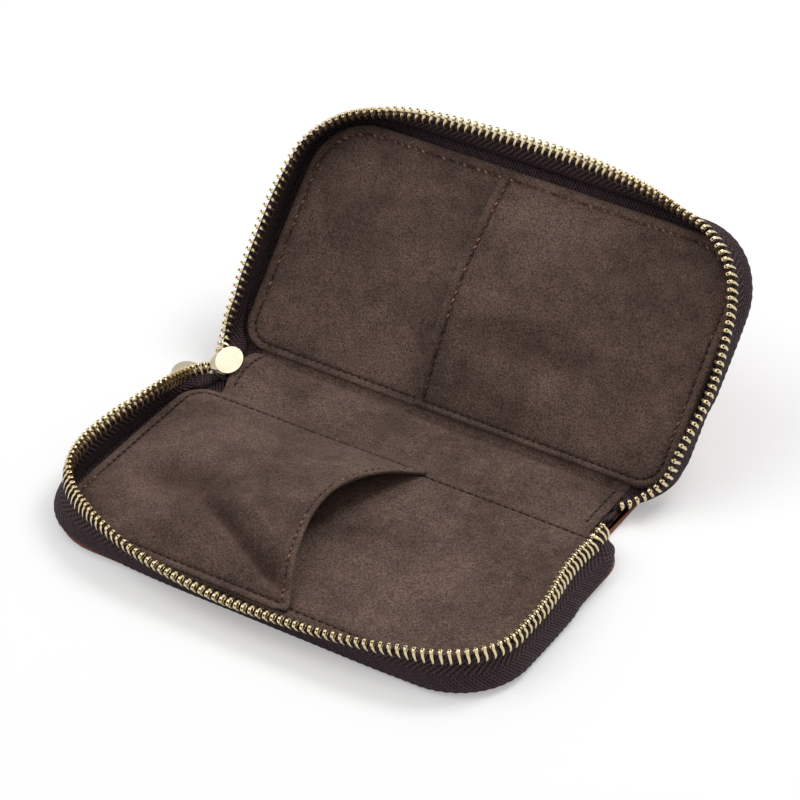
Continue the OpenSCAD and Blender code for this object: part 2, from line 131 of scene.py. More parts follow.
class CaseSizes(bpy.types.PropertyGroup):
    """Sizes of the soft goods and of the zip."""

    front_r: length("Front radius", "Outline radius at the front corners", 22)
    back_r: length("Spine radius", "Outline radius at the corners beside the spine", 12)
    spine_seam: length("Spine seam", "From the ends of the spine's lining to its stitch lines", 3.2)
    lining_in: length("Lining inset", "From the leather's outline to the lining's edge", 2.2)
    seam_in: length("Seam inset", "From the leather's outline to the stitch line", 5.5)
    fold_in: length("Fold inset", "From a fold line to the lining's edge", 2)
    fold_seam: length("Fold seam", "From a fold line to the stitch line", 4.5)
    suede_t: length("Suede", "Thickness of the lining suede", 0.8)
    pocket_in: length("Pocket inset", "From the leather's outline to a pocket's edge", 2.6)
    base_hem: length("Base hem", "Place of the base pocket's hem", 10.5)
    lid_hem: length("Lid hem", "Place of the lid pocket's hem, left of the middle", 11)
    base_mouth: length("Base mouth", "Height that the base pocket stands open", 12)
    lid_mouth: length("Lid mouth", "Height that the lid pocket stands open", 7)
    hem_draw: length("Hem draw", "How far the base hem draws back where it stands open", 11)
    tape_in: length("Tape inset", "From the leather's outline to the tape wall", 1)
    tape_foot: length("Tape foot", "Width of tape sewn in flat", 4)
    tape_stub: length("Tape stub", "Height of tape before it starts to lean", 2)
    tape_w: length("Tape width", "From there to the middle of the teeth", 9.7)
    tape_lip: length("Tape lip", "How far the tape rolls out over the leather's edge", 2.6)
    tape_end_w: length("Tape end", "The same at the ends of the tape", 3.5)
    tape_grow: length("Tape growth", "Distance over which the tape grows to full width", 6)
    tape_t: length("Tape thickness", "Thickness of the woven tape", 0.66)
    rib_pitch: length("Rib pitch", "Spacing of the tape's broad ribs", 2.1)
    rib_band: length("Rib band", "Width of the broad ribs beside the teeth", 4.2)
    tooth_pitch: length("Tooth pitch", "Spacing of the zip teeth", 2.5)
    tooth_t: length("Tooth thickness", "Thickness of one tooth's head along the zip", 1.0)
    stitch_pitch: length("Stitch pitch", "Distance from stitch to stitch", 2.6)
    stitch_l: length("Stitch length", "Length of thread that shows in one stitch", 1.6)
    thread_d: length("Thread", "Diameter of the sewing thread", 0.6)


class CaseColours(bpy.types.PropertyGroup):
    """Colours of the case's materials."""

    leather: colour("Leather", "Waxed pull-up hide", "#8a4a28")
    leather_dark: colour("Leather, dark", "Where the wax has settled", "#592b17")
    suede: colour("Suede", "Nap brushed one way", "#6b574e")
    suede_dark: colour("Suede, dark", "Nap brushed the other way", "#4f3f38")
    fibre: colour("Fibres", "Short pale fibres of the nap", "#8b746a")
    tape: colour("Tape", "Polyester zip tape", "#4c373c")
    # Colour of the painted shade between the tape's ribs and dots
    tape_painted_shade: colour("Tape, dark", "Between the tape's ribs", "#070405")
    brass: colour("Brass", "Zip teeth", "#dac9a2")
    brass_dark: colour("Brass, dark", "Old brass in the hollows", "#4a3820")
    plating: colour("Plating", "Slider and pulls", "#c4b9a3")
    thread: colour("Thread", "Waxed sewing thread", "#1f1614")
    # Colour of the painted highlight on the middle of each stitch
    thread_highlight: colour("Thread, warm", "Thread rubbed back to its first colour", "#a97c66")
    board: colour("Board", "Grey stiffening board", "#a8977c")
    foam: colour("Foam", "Padding under the lining", "#8d8884")


def mm(name):
    """A size in millimetres."""
    return getattr(bpy.context.scene.case_sizes, name) / MM


def tint(name):
    """A colour of the case, with full alpha."""
    return (*getattr(bpy.context.scene.case_colours, name), 1)


# ---- Materials -----------------------------------------------------------------------------------


def add(tree, kind, inputs=None, out=0, stops=(), **settings):
    """Adds a shader node with its settings, inputs and ramp stops, and returns one of its outputs."""
    node = tree.nodes.new("ShaderNode" + kind)
    for key, value in settings.items():
        setattr(node, key, value)
    for key, value in (inputs or {}).items():
        if isinstance(value, bpy.types.NodeSocket):
            tree.links.new(value, node.inputs[key])
        else:
            node.inputs[key].default_value = value
    for place, (position, value) in enumerate(stops):
        band = node.color_ramp.elements
        stop = band[0] if place == 0 else band[-1] if place == 1 else band.new(position)
        stop.position, stop.color = position, value
    return node.outputs[out] if node.outputs else node


def per(size):
    """Scale of a pattern whose features are size millimetres across."""
    return 1 / (size * MM)


def shaded(colour, share):
    """A darker shade of a colour."""
    return tuple(c * share for c in colour[:3]) + (1,)


# Shares of red, green and blue that a spot keeps under full painted shade, and the tint of light that grazes
# the nap
SUEDE_PAINTED_SHADE = (0.6, 0.53, 0.52, 1)
LEATHER_PAINTED_SHADE = (0.16, 0.13, 0.13, 1)
SHEEN_TINT = (0.6, 0.46, 0.4, 1)


def new_tree(name):
    """A new material and its empty node tree."""
    found = bpy.data.materials.new(name)
    found.use_nodes = True
    found.node_tree.nodes.clear()
    return found, found.node_tree


def suede_nubuck():
    """Brushed suede: matt nap that turns lighter and darker in soft patches, with short pale fibres."""
    found, tree = new_tree("suede, brushed nap")
    place = add(tree, "TexCoord", out="Object")
    sweep = add(tree, "TexNoise", {"Vector": place, "Scale": per(26), "Detail": 3.0})
    brush = add(tree, "TexNoise", {"Vector": place, "Scale": per(5), "Detail": 4.0, "Roughness": 0.6})
    # Fibres are about 0.1 mm across, and are drawn coarser so that they show
    fibre = add(tree, "TexNoise", {"Vector": place, "Scale": per(0.55), "Detail": 2.0, "Roughness": 0.8})
    speck = add(tree, "TexNoise", {"Vector": place, "Scale": per(0.75), "Detail": 1.0})
    part = add(tree, "Math", {0: sweep, 1: 0.6}, operation="MULTIPLY")
    nap = add(tree, "Math", {0: brush, 1: 0.4, 2: part}, operation="MULTIPLY_ADD")
    base = add(tree, "ValToRGB", {0: nap}, stops=((0.38, tint("suede_dark")), (0.62, tint("suede"))))
    stops = ((0.36, (0.45, 0.45, 0.45, 1)), (0.64, (1.6, 1.6, 1.6, 1)))
    grain = add(tree, "ValToRGB", {0: fibre}, stops=stops)
    base = add(tree, "Mix", {0: 1.0, 6: base, 7: grain}, out=2, data_type="RGBA", blend_type="MULTIPLY")
    pale = add(tree, "MapRange", {"Value": speck, "From Min": 0.68, "From Max": 0.76, "To Max": 0.6})
    base = add(tree, "Mix", {0: pale, 6: base, 7: tint("fibre")}, out=2, data_type="RGBA")
    # Painted shade from a point attribute: in seam channels, on turned edges and in the dents of pulled
    # folds
    press = add(tree, "Attribute", out="Fac", attribute_name="press")
    base = add(tree, "Mix", {0: press, 6: base, 7: SUEDE_PAINTED_SHADE}, out=2, data_type="RGBA",
               blend_type="MULTIPLY")
    height = add(tree, "Math", {0: fibre, 1: 0.5, 2: brush}, operation="MULTIPLY_ADD")
    normal = add(tree, "Bump", {"Height": height, "Distance": 0.35 * MM, "Strength": 0.7})
    shader = add(tree, "BsdfPrincipled", {"Base Color": base, "Roughness": 0.95, "Specular IOR Level": 0.2,
                 "Sheen Weight": 0.12, "Sheen Roughness": 0.4, "Sheen Tint": SHEEN_TINT, "Normal": normal})
    add(tree, "OutputMaterial", {"Surface": shader})
    return found


def waxed_leather():
    """Waxed pull-up hide: satin, with a fine pebble grain, darker where the wax has settled."""
    found, tree = new_tree("leather, waxed pull-up hide")
    place = add(tree, "TexCoord", out="Object")
    cloud = add(tree, "TexNoise", {"Vector": place, "Scale": per(30), "Detail": 5.0, "Roughness": 0.65})
    crease = add(tree, "TexNoise", {"Vector": place, "Scale": per(5), "Detail": 6.0, "Roughness": 0.7})
    pebble = add(tree, "TexVoronoi", {"Vector": place, "Scale": per(0.9)}, feature="DISTANCE_TO_EDGE")
    part = add(tree, "Math", {0: cloud, 1: 0.7}, operation="MULTIPLY")
    tone = add(tree, "Math", {0: crease, 1: 0.3, 2: part}, operation="MULTIPLY_ADD")
    base = add(tree, "ValToRGB", {0: tone}, stops=((0.34, tint("leather_dark")), (0.7, tint("leather"))))
    # Painted shade from a point attribute: on the spine's inner face and over the folds
    press = add(tree, "Attribute", out="Fac", attribute_name="press")
    base = add(tree, "Mix", {0: press, 6: base, 7: LEATHER_PAINTED_SHADE}, out=2, data_type="RGBA",
               blend_type="MULTIPLY")
    rough = add(tree, "MapRange", {"Value": crease, "To Min": 0.38, "To Max": 0.62})
    edge = add(tree, "Math", {0: pebble, 1: 0.12}, operation="MINIMUM")
    grain = add(tree, "Math", {0: edge, 1: 6.0, 2: crease}, operation="MULTIPLY_ADD")
    normal = add(tree, "Bump", {"Height": grain, "Distance": 0.16 * MM, "Strength": 0.6})
    shader = add(tree, "BsdfPrincipled", {"Base Color": base, "Roughness": rough, "IOR": 1.48,
                 "Specular IOR Level": 0.45, "Normal": normal})
    add(tree, "OutputMaterial", {"Surface": shader})
    return found


def woven_tape():
    """Woven polyester tape: broad slanted ribs beside the teeth and a fine dotted twill below them, with
    painted shade between the ribs and dots.
    """
    found, tree = new_tree("polyester tape, herringbone weave")
    weave = add(tree, "UVMap", uv_map="weave")
    along = add(tree, "SeparateXYZ", {0: weave}, out=0)
    across = add(tree, "SeparateXYZ", {0: weave}, out=1)
    # Twill lines are about 0.6 mm apart, and are drawn at twice that so that they show
    twill = 1.2
    bands = []
    for slant, pitch in (("ADD", mm("rib_pitch")), ("SUBTRACT", twill)):
        turn = add(tree, "Math", {0: along, 1: across}, operation=slant)
        angle = add(tree, "Math", {0: turn, 1: 2 * math.pi * per(pitch)}, operation="MULTIPLY")
        wave = add(tree, "Math", {0: angle}, operation="SINE")
        bands.append(add(tree, "Math", {0: wave, 1: 0.5, 2: 0.5}, operation="MULTIPLY_ADD"))
    edge = (CORD_W + mm("rib_band")) * MM
    fine = add(tree, "MapRange", {"Value": across, "From Min": 0.95 * edge, "From Max": 1.05 * edge})
    rib = add(tree, "Mix", {0: fine, 2: bands[0], 3: bands[1]}, data_type="FLOAT")
    # The weft is about 0.3 mm thick, and is drawn at three times that so that it shows
    weft = 0.95
    dots = []
    for way in (along, across):
        angle = add(tree, "Math", {0: way, 1: 2 * math.pi * per(weft)}, operation="MULTIPLY")
        wave = add(tree, "Math", {0: angle}, operation="SINE")
        dots.append(add(tree, "Math", {0: wave, 1: 0.5, 2: 0.5}, operation="MULTIPLY_ADD"))
    dot = add(tree, "Math", {0: dots[0], 1: dots[1]}, operation="MULTIPLY")
    place = add(tree, "TexCoord", out="Object")
    fuzz = add(tree, "TexNoise", {"Vector": place, "Scale": per(0.6), "Detail": 2.0, "Roughness": 0.7})
    part = add(tree, "Math", {0: dot, 1: 0.5}, operation="MULTIPLY")
    height = add(tree, "Math", {0: rib, 1: 0.6, 2: part}, operation="MULTIPLY_ADD")
    shade = add(tree, "Math", {0: fuzz, 1: 0.8, 2: height}, operation="MULTIPLY_ADD")
    # Painted shade: the tape darkens where its weave is low, with a random fuzz on top
    base = add(tree, "ValToRGB", {0: shade}, stops=((0.55, tint("tape_painted_shade")), (1.0, tint("tape"))))
    normal = add(tree, "Bump", {"Height": height, "Distance": 0.5 * MM, "Strength": 1.0})
    shader = add(tree, "BsdfPrincipled", {"Base Color": base, "Roughness": 0.75, "Specular IOR Level": 0.25,
                 "Normal": normal})
    add(tree, "OutputMaterial", {"Surface": shader})
    return found


def old_brass():
    """Tumbled antique brass: bright where it rubs, brown in the hollows."""
    found, tree = new_tree("brass, tumbled antique finish")
    place = add(tree, "TexCoord", out="Object")
    stain = add(tree, "TexNoise", {"Vector": place, "Scale": per(1.6), "Detail": 3.0, "Roughness": 0.6})
    rub = add(tree, "NewGeometry", out="Pointiness")
    rub = add(tree, "Math", {0: rub, 1: 6.0, 2: -3.0}, operation="MULTIPLY_ADD")
    highlight = add(tree, "Math", {0: stain, 1: rub}, operation="ADD")
    base = add(tree, "ValToRGB", {0: highlight}, stops=((0.36, tint("brass_dark")), (0.56, tint("brass"))))
    rough = add(tree, "MapRange", {"Value": stain, "To Min": 0.16, "To Max": 0.34})
    shader = add(tree, "BsdfPrincipled", {"Base Color": base, "Metallic": 1.0, "Roughness": rough})
    add(tree, "OutputMaterial", {"Surface": shader})
    return found


def plated_zinc():
    """Zinc casting with pale gold plating, brushed to a satin: soft, wide reflections."""
    found, tree = new_tree("zinc casting, satin pale gold plating")
    place = add(tree, "TexCoord", out="Object")
    stroke = add(tree, "Mapping", {"Vector": place, "Scale": (1, 6, 1)})
    line = add(tree, "TexNoise", {"Vector": stroke, "Scale": per(1.2), "Detail": 3.0, "Roughness": 0.6})
    cloud = add(tree, "TexNoise", {"Vector": place, "Scale": per(5), "Detail": 2.0})
    stops = ((0.35, shaded(tint("plating"), 0.84)), (0.6, tint("plating")))
    base = add(tree, "ValToRGB", {0: cloud}, stops=stops)
    rough = add(tree, "MapRange", {"Value": line, "To Min": 0.26, "To Max": 0.4})
    normal = add(tree, "Bump", {"Height": line, "Distance": 0.02 * MM, "Strength": 0.4})
    shader = add(tree, "BsdfPrincipled", {"Base Color": base, "Metallic": 1.0, "Roughness": rough,
                 "Normal": normal})
    add(tree, "OutputMaterial", {"Surface": shader})
    return found


def waxed_thread():
    """Twisted waxed thread: near black, with a red-brown painted highlight where the warm attribute says."""
    found, tree = new_tree("polyester thread, waxed")
    place = add(tree, "TexCoord", out="Object")
    warm = add(tree, "Attribute", out="Fac", attribute_name="warm")
    base = add(tree, "Mix", {0: warm, 6: tint("thread"), 7: tint("thread_highlight")}, out=2, data_type="RGBA")
    ply = add(tree, "TexNoise", {"Vector": place, "Scale": per(0.5), "Detail": 1.0})
    normal = add(tree, "Bump", {"Height": ply, "Distance": 0.08 * MM, "Strength": 0.8})
    shader = add(tree, "BsdfPrincipled", {"Base Color": base, "Roughness": 0.6, "Specular IOR Level": 0.3,
                 "Normal": normal})
    add(tree, "OutputMaterial", {"Surface": shader})
    return found


def grey_board():
    """Pressed fibre board: matt and speckled."""
    found, tree = new_tree("fibre board, pressed")
    place = add(tree, "TexCoord", out="Object")
    fleck = add(tree, "TexNoise", {"Vector": place, "Scale": per(0.8), "Detail": 4.0, "Roughness": 0.7})
    stops = ((0.35, shaded(tint("board"), 0.7)), (0.65, tint("board")))
    base = add(tree, "ValToRGB", {0: fleck}, stops=stops)
    normal = add(tree, "Bump", {"Height": fleck, "Distance": 0.05 * MM, "Strength": 0.5})
    shader = add(tree, "BsdfPrincipled", {"Base Color": base, "Roughness": 0.9, "Normal": normal})
    add(tree, "OutputMaterial", {"Surface": shader})
    return found


def open_foam():
    """Open-cell foam: matt, with small round pores."""
    found, tree = new_tree("polyurethane foam, open cell")
    place = add(tree, "TexCoord", out="Object")
    pore = add(tree, "TexVoronoi", {"Vector": place, "Scale": per(0.7)})
    stops = ((0.1, shaded(tint("foam"), 0.55)), (0.5, tint("foam")))
    base = add(tree, "ValToRGB", {0: pore}, stops=stops)
    normal = add(tree, "Bump", {"Height": pore, "Distance": 0.2 * MM, "Strength": 0.6})
    shader = add(tree, "BsdfPrincipled", {"Base Color": base, "Roughness": 0.95, "Normal": normal})
    add(tree, "OutputMaterial", {"Surface": shader})
    return found


MAKERS = {
    "suede": suede_nubuck,
    "leather": waxed_leather,
    "tape": woven_tape,
    "teeth": old_brass,
    "metal": plated_zinc,
    "thread": waxed_thread,
    "board": grey_board,
    "foam": open_foam,
}
made = {}


def finish_of(kind):
    """The material of one kind, made once."""
    if kind not in made:
        made[kind] = MAKERS[kind]()
    return made[kind]


def dress_node(node, kind):
    """Gives a CAD node that stays in view its material."""
    slots = frame["nodes"][node].data.materials
    slots.clear()
    slots.append(finish_of(kind))


# ---- Meshes --------------------------------------------------------------------------------------


def linked(name, data):
    """A new object in the scene."""
    thing = bpy.data.objects.new(name, data)
    bpy.context.scene.collection.objects.link(thing)
    return thing


def mesh_from(work, name):
    """A mesh from work that is done."""
    data = bpy.data.meshes.new(name)
    work.to_mesh(data)
    work.free()
    return data


def put(name, points, faces, kind, uv=None, sharp=None, **fields):
    """A smooth mesh object from points in millimetres, with its normals turned outwards; each field
    is a value for every point that its material reads."""
    data = bpy.data.meshes.new(name)
    data.from_pydata((np.asarray(points) * MM).tolist(), [], [tuple(map(int, f)) for f in faces])
    if uv is not None:
        layer = data.uv_layers.new(name="weave")
        loops = np.zeros(len(data.loops), np.int32)
        data.loops.foreach_get("vertex_index", loops)
        layer.data.foreach_set("uv", (np.asarray(uv)[loops] * MM).astype(np.float32).ravel())
    for key, values in fields.items():
        data.attributes.new(key, "FLOAT", "POINT").data.foreach_set("value", np.asarray(values, np.float32))
    work = bmesh.new()
    work.from_mesh(data)
    bmesh.ops.recalc_face_normals(work, faces=work.faces)
    work.to_mesh(data)
    work.free()
    data.materials.append(finish_of(kind))
    data.shade_smooth()
    if sharp:
        data.set_sharp_from_angle(angle=math.radians(sharp))
    return linked(name, data)


def on_half(half, points):
    """Points of a half, placed where that half lies."""
    x, y, z = np.asarray(points, float).T
    if half == "base":
        return np.stack([x, FOLD_Y - y, z], 1)
    c, s = math.cos(TILT), math.sin(TILT)
    up = z - AXIS_Z
    return np.stack([x, LID_FOLD_Y + y * c - up * s, AXIS_Z + y * s + up * c], 1)


def smooth01(t):
    """A smooth step from 0 to 1."""
    t = np.clip(t, 0, 1)
    return t * t * (3 - 2 * t)


def wavy(x, y, size, seed):
    """A smooth field from -1 to 1 with swells about size across."""
    r = np.random.default_rng(seed)
    total = np.zeros_like(np.asarray(x, float))
    for _ in range(7):
        angle, phase = r.uniform(0, 2 * math.pi, 2)
        wave = 2 * math.pi / (size * r.uniform(0.7, 1.6))
        total += np.sin(wave * (x * math.cos(angle) + y * math.sin(angle)) + phase)
    return total / 3.5


# Steps in half a rounded corner, and the smallest radius that a corner is drawn with
ARC = 5
TIGHTEST = 0.8


def on_circle(centre, radius, degrees):
    """A point of a circle."""
    turn = math.radians(degrees)
    return centre[0] + radius * math.cos(turn), centre[1] + radius * math.sin(turn)


def ring(rect, radii, inset, scale, counts):
    """Points round a rectangle with rounded corners, moved in by inset times each side's scale."""
    x0, x1, y0, y1 = rect
    x0, x1 = x0 + inset * scale[0], x1 - inset * scale[1]
    y0, y1 = y0 + inset * scale[2], y1 - inset * scale[3]
    r00, r10, r11, r01 = [max(r - inset, TIGHTEST) for r in radii]
    corners = [((x0 + r00, y0 + r00), r00, 180), ((x1 - r10, y0 + r10), r10, 270),
               ((x1 - r11, y1 - r11), r11, 0), ((x0 + r01, y1 - r01), r01, 90)]
    points = []
    for k in range(4):
        (c0, ra, a0), (c1, rb, a1) = corners[k], corners[(k + 1) % 4]
        first = [on_circle(c0, ra, a0 + 45 + 45 * i / ARC) for i in range(ARC)]
        start, end = on_circle(c0, ra, a0 + 90), on_circle(c1, rb, a1)
        dx, dy, n = end[0] - start[0], end[1] - start[1], counts[k % 2]
        middle = [(start[0] + dx * i / n, start[1] + dy * i / n) for i in range(n)]
        last = [on_circle(c1, rb, a1 + 45 * i / ARC) for i in range(ARC)]
        points += first + middle + last
    return np.array(points)


def patch(border, nu, nv):
    """Points inside a closed border of 2 (nu + nv) points, as a grid that follows its four sides."""
    low, right = border[: nu + 1], border[nu : nu + nv + 1]
    top = border[nu + nv : 2 * nu + nv + 1][::-1]
    left = np.vstack([border[2 * nu + nv :], border[:1]])[::-1]
    u = np.linspace(0, 1, nu + 1)[:, None, None]
    v = np.linspace(0, 1, nv + 1)[None, :, None]
    across = (1 - v) * low[:, None] + v * top[:, None]
    along = (1 - u) * left[None, :] + u * right[None, :]
    corners = (1 - u) * (1 - v) * low[0] + u * (1 - v) * low[-1] + (1 - u) * v * top[0] + u * v * top[-1]
    return across + along - corners


def patch_faces(border_index, nu, nv, inner_start):
    """Quads of that grid, using the border's own vertices and new ones for the inside."""
    index = np.zeros((nu + 1, nv + 1), int)
    index[:, 0] = border_index[: nu + 1]
    index[nu, :] = border_index[nu : nu + nv + 1]
    index[:, nv] = border_index[nu + nv : 2 * nu + nv + 1][::-1]
    index[0, :] = np.append(border_index[2 * nu + nv :], border_index[0])[::-1]
    index[1:nu, 1:nv] = inner_start + np.arange((nu - 1) * (nv - 1)).reshape(nu - 1, nv - 1)
    a, b, c, d = index[:-1, :-1], index[1:, :-1], index[1:, 1:], index[:-1, 1:]
    return np.stack([a, b, c, d], -1).reshape(-1, 4)


def panel(rect, radii, scale, counts, profile, under, over):
    """A closed soft panel. profile is a list of (inset, height, 0 for under or 1 for over, painted shade)
    from the underside round the edge to the top; under and over give the heights of its two faces. Returns
    its points, its faces and the painted shade of each point, taken from the profile."""
    nu, nv = counts[0] + 2 * ARC, counts[1] + 2 * ARC
    around = 2 * (nu + nv)
    points, faces, painted_shades = [], [], []
    for inset, rise, top, press in profile:
        p = ring(rect, radii, inset, scale, counts)
        z = (over if top else under)(p[:, 0], p[:, 1]) + rise
        points.append(np.column_stack([p, z]))
        painted_shades.append(np.full(around, press))
    n = len(profile)
    i = np.arange(around)
    j = (i + 1) % around
    for k in range(n - 1):
        a, b = k * around, (k + 1) * around
        faces.append(np.stack([a + i, a + j, b + j, b + i], 1))
    for k, face in ((n - 1, over), (0, under)):
        inner = patch(points[k][:, :2], nu, nv)[1:nu, 1:nv].reshape(-1, 2)
        z = face(inner[:, 0], inner[:, 1]) + profile[k][1]
        start = sum(len(p) for p in points)
        points.append(np.column_stack([inner, z]))
        painted_shades.append(np.zeros(len(inner)))
        faces.append(patch_faces(k * around + i, nu, nv, start))
    return np.vstack(points), np.vstack(faces), np.concatenate(painted_shades)


def strip_solid(middle, half, relief=None):
    """A closed strip from a grid of middle points, half its thickness to each side. Its uv runs along
    the strip and across it from its last row."""
    m, n = middle.shape[:2]
    normal = np.cross(np.gradient(middle, axis=0), np.gradient(middle, axis=1))
    normal /= np.maximum(np.linalg.norm(normal, axis=2, keepdims=True), 1e-9)
    along = np.cumsum(np.linalg.norm(np.diff(middle, axis=0, prepend=middle[:1]), axis=2)[:, -1])
    across = np.cumsum(np.linalg.norm(np.diff(middle, axis=1, prepend=middle[:, :1]), axis=2), axis=1)
    across = across[:, -1:] - across
    run = along[:, None] + 0 * across
    h = np.broadcast_to(half, (m, n))[..., None]
    bumps = relief(run, across)[..., None] if relief else 0
    points = np.concatenate([middle + normal * (h + bumps), middle - normal * (h + bumps)]).reshape(-1, 3)
    uv = np.stack([run, across], -1).reshape(-1, 2)
    index = np.arange(m * n).reshape(m, n)
    low = index + m * n
    quads = [np.stack([index[:-1, :-1], index[1:, :-1], index[1:, 1:], index[:-1, 1:]], -1).reshape(-1, 4),
             np.stack([low[:-1, :-1], low[:-1, 1:], low[1:, 1:], low[1:, :-1]], -1).reshape(-1, 4)]
    rims = [(index[:, 0], low[:, 0]), (index[:, -1], low[:, -1]), (index[0], low[0]), (index[-1], low[-1])]
    for a, b in rims:
        quads.append(np.stack([a[:-1], a[1:], b[1:], b[:-1]], 1))
    return points, np.vstack(quads), np.vstack([uv, uv])


# ---- Zip path ------------------------------------------------------------------------------------

CORNER_START = math.radians(60)

# Wall of the open zip round each half: share of the run, lean outwards in degrees, bulge in millimetres
WALLS = {
    "base": [(0, -8, 1), (0.06, -2, 0), (0.12, 13, 0), (0.165, 14, 0), (0.24, -17, 4), (0.285, -15, 5),
             (0.32, 9, 3), (0.36, 30, 1), (0.41, 46, 0), (0.48, 55, 0), (0.56, 49, 0), (0.64, 34, 0),
             (0.69, 16, 1), (0.73, 2, 1.5), (0.8, -2, 1), (0.86, -4, 0.5), (0.92, -22, 1.5), (1, -36, 3)],
    "lid": [(0, 8, 0), (0.09, 10, 0), (0.15, 9, 0), (0.21, -4, 1), (0.25, -9, 2), (0.29, 0, 1),
            (0.335, 25, 0), (0.38, 40, 0), (0.45, 51, 0), (0.53, 56, 0), (0.59, 46, 0), (0.65, 26, 0),
            (0.69, 6, 1), (0.74, -8, 2), (0.79, -2, 1), (0.83, 14, 0), (0.9, 27, 0), (0.97, 12, 0),
            (1, 4, 0)],
}

# Shares of a wall's bulge that lean its climb out, and that its lip gives up on the left half of the run
BULGE_LEAN = 0.22
BULGE_CUT = 0.16
# Share of the lip that is left beside the spine, and the distance over which it grows from there
LIP_BACK = 0.7
LIP_GROW = 8


def through(keys, f, column):
    """Smooth curve through one column of the keys, with each slope taken from the neighbours."""
    keys = np.array(keys, float)
    x, v = keys[:, 0], keys[:, column]
    ends = np.arange(len(x))
    before, after = np.maximum(ends - 1, 0), np.minimum(ends + 1, len(x) - 1)
    slope = (v[after] - v[before]) / (x[after] - x[before])
    i = np.clip(np.searchsorted(x, f, "right") - 1, 0, len(x) - 2)
    w = x[i + 1] - x[i]
    t = np.clip((f - x[i]) / w, 0, 1)
    return (v[i] * (1 + 2 * t) * (1 - t) ** 2 + v[i + 1] * t * t * (3 - 2 * t)
            + w * t * (1 - t) * ((1 - t) * slope[i] - t * slope[i + 1]))


class ZipPath:
    """The line that the zip's tape stands on, round one half, and the section of its wall."""

    def __init__(self, half):
        self.half, self.keys = half, WALLS[half]
        self.rb, self.rf = mm("back_r") - mm("tape_in"), mm("front_r") - mm("tape_in")
        self.arc_b = self.rb * (math.pi / 2 - CORNER_START)
        self.side = HALF_D - mm("back_r") - mm("front_r")
        self.arc_f = self.rf * math.pi / 2
        self.run = 2 * (self.arc_b + self.side + self.arc_f) + CASE_L - 2 * mm("front_r")
        self.mid_z = LEATHER_T + (SEAM_Z - LEATHER_T) / 2
        self.lean_z = self.mid_z + mm("tape_stub")

    def foot(self, u):
        """Foot of the wall: x, y, outward x, outward y."""
        flip = np.where(u > self.run / 2, -1.0, 1.0)
        v = np.minimum(u, self.run - u)
        a = CORNER_START + v / self.rb
        w = v - self.arc_b - self.side
        b = np.clip(w / self.rf, 0, math.pi / 2)
        back, front, half_l = mm("back_r"), mm("front_r"), CASE_L / 2
        on_back, on_side, on_front = v < self.arc_b, w < 0, w < self.arc_f

        def pick(*four):
            return np.select([on_back, on_side, on_front], four[:3], four[3])

        x = pick(back - half_l - self.rb * np.sin(a), mm("tape_in") - half_l + 0 * v,
                 front - half_l - self.rf * np.cos(b), front - half_l + w - self.arc_f)
        y = pick(back - self.rb * np.cos(a), back + v - self.arc_b,
                 HALF_D - front + self.rf * np.sin(b), HALF_D - mm("tape_in") + 0 * v)
        nx = pick(-np.sin(a), -1 + 0 * v, -np.cos(b), 0 * v)
        ny = pick(-np.cos(a), 0 * v, np.sin(b), 1 + 0 * v)
        return flip * x, y, flip * nx, ny

    def place(self, u, q, h):
        """A point of the wall's section, q outwards from its foot and h up."""
        x, y, nx, ny = self.foot(u)
        return np.stack([x + q * nx, y + q * ny, h + 0 * x], -1)

    def free_w(self, u):
        """Width of the free tape up to the middle of the teeth."""
        near = np.minimum(u, self.run - u)
        return mm("tape_w") - (mm("tape_w") - mm("tape_end_w")) * np.exp(-near / mm("tape_grow"))

    def lean(self, u):
        """Lean of the wall, outwards."""
        return np.radians(through(self.keys, u / self.run, 1))

    def bulge(self, u):
        """How far the wall bulges between its foot and its teeth."""
        return through(self.keys, u / self.run, 2)

    def tooth_mid(self, u):
        """Middle of the row of teeth."""
        a, w = self.lean(u), self.free_w(u)
        return self.place(u, w * np.sin(a), self.lean_z + w * np.cos(a))

    def world(self, points):
        """Points of the half, placed where it lies."""
        shape = points.shape
        return on_half(self.half, points.reshape(-1, 3)).reshape(shape)

    def frame_at(self, u):
        """Parts of the section at each u: edge and foot of the sewn-in tape, ways out and up, lip, teeth
        and aim."""
        zero, one = 0 * u, 1 + 0 * u
        a = self.lean(u)
        nx, ny = self.foot(u)[2:]
        origin = self.world(np.stack([zero, zero, zero], -1))
        ways = [self.world(np.stack(v, -1)) - origin for v in
                ((nx, ny, zero), (zero, zero, one), (nx * np.sin(a), ny * np.sin(a), np.cos(a)))]
        near_back = np.minimum(u, self.run - u) - self.arc_b - self.side / 2
        bulge = self.bulge(u)[:, None]
        cut = BULGE_CUT * bulge * (u < self.run / 2)[:, None]
        grown = LIP_BACK + (1 - LIP_BACK) * smooth01(near_back / LIP_GROW + 1)
        lip = mm("tape_lip") * grown[:, None] - cut
        return {
            "inner": self.world(self.place(u, -mm("tape_foot"), self.mid_z)),
            "foot": self.world(self.place(u, 0, self.mid_z)),
            "out": ways[0], "up": ways[1], "lip": lip, "rise": ways[1] + BULGE_LEAN * bulge * ways[0],
            "teeth": self.world(self.tooth_mid(u)), "aim": ways[2],
        }


# ---- Zip leads, from each corner beside the spine to the slider or to the sewn-in end ------------

SLIDER = node_box("slider_body")
SLIDER_MID = (SLIDER[0] + SLIDER[1]) / 2
ROLL = math.radians(12)


def by_slider(x, y, z):
    """A point given from the slider's centre, y across it and z square to its plates."""
    c, s = math.cos(ROLL), math.sin(ROLL)
    return tuple(SLIDER_MID + (x, y * c - z * s, y * s + z * c))


def of_half(half, x, y, z):
    """One point of a half, placed where it lies."""
    return tuple(on_half(half, [(x, y, z)])[0])


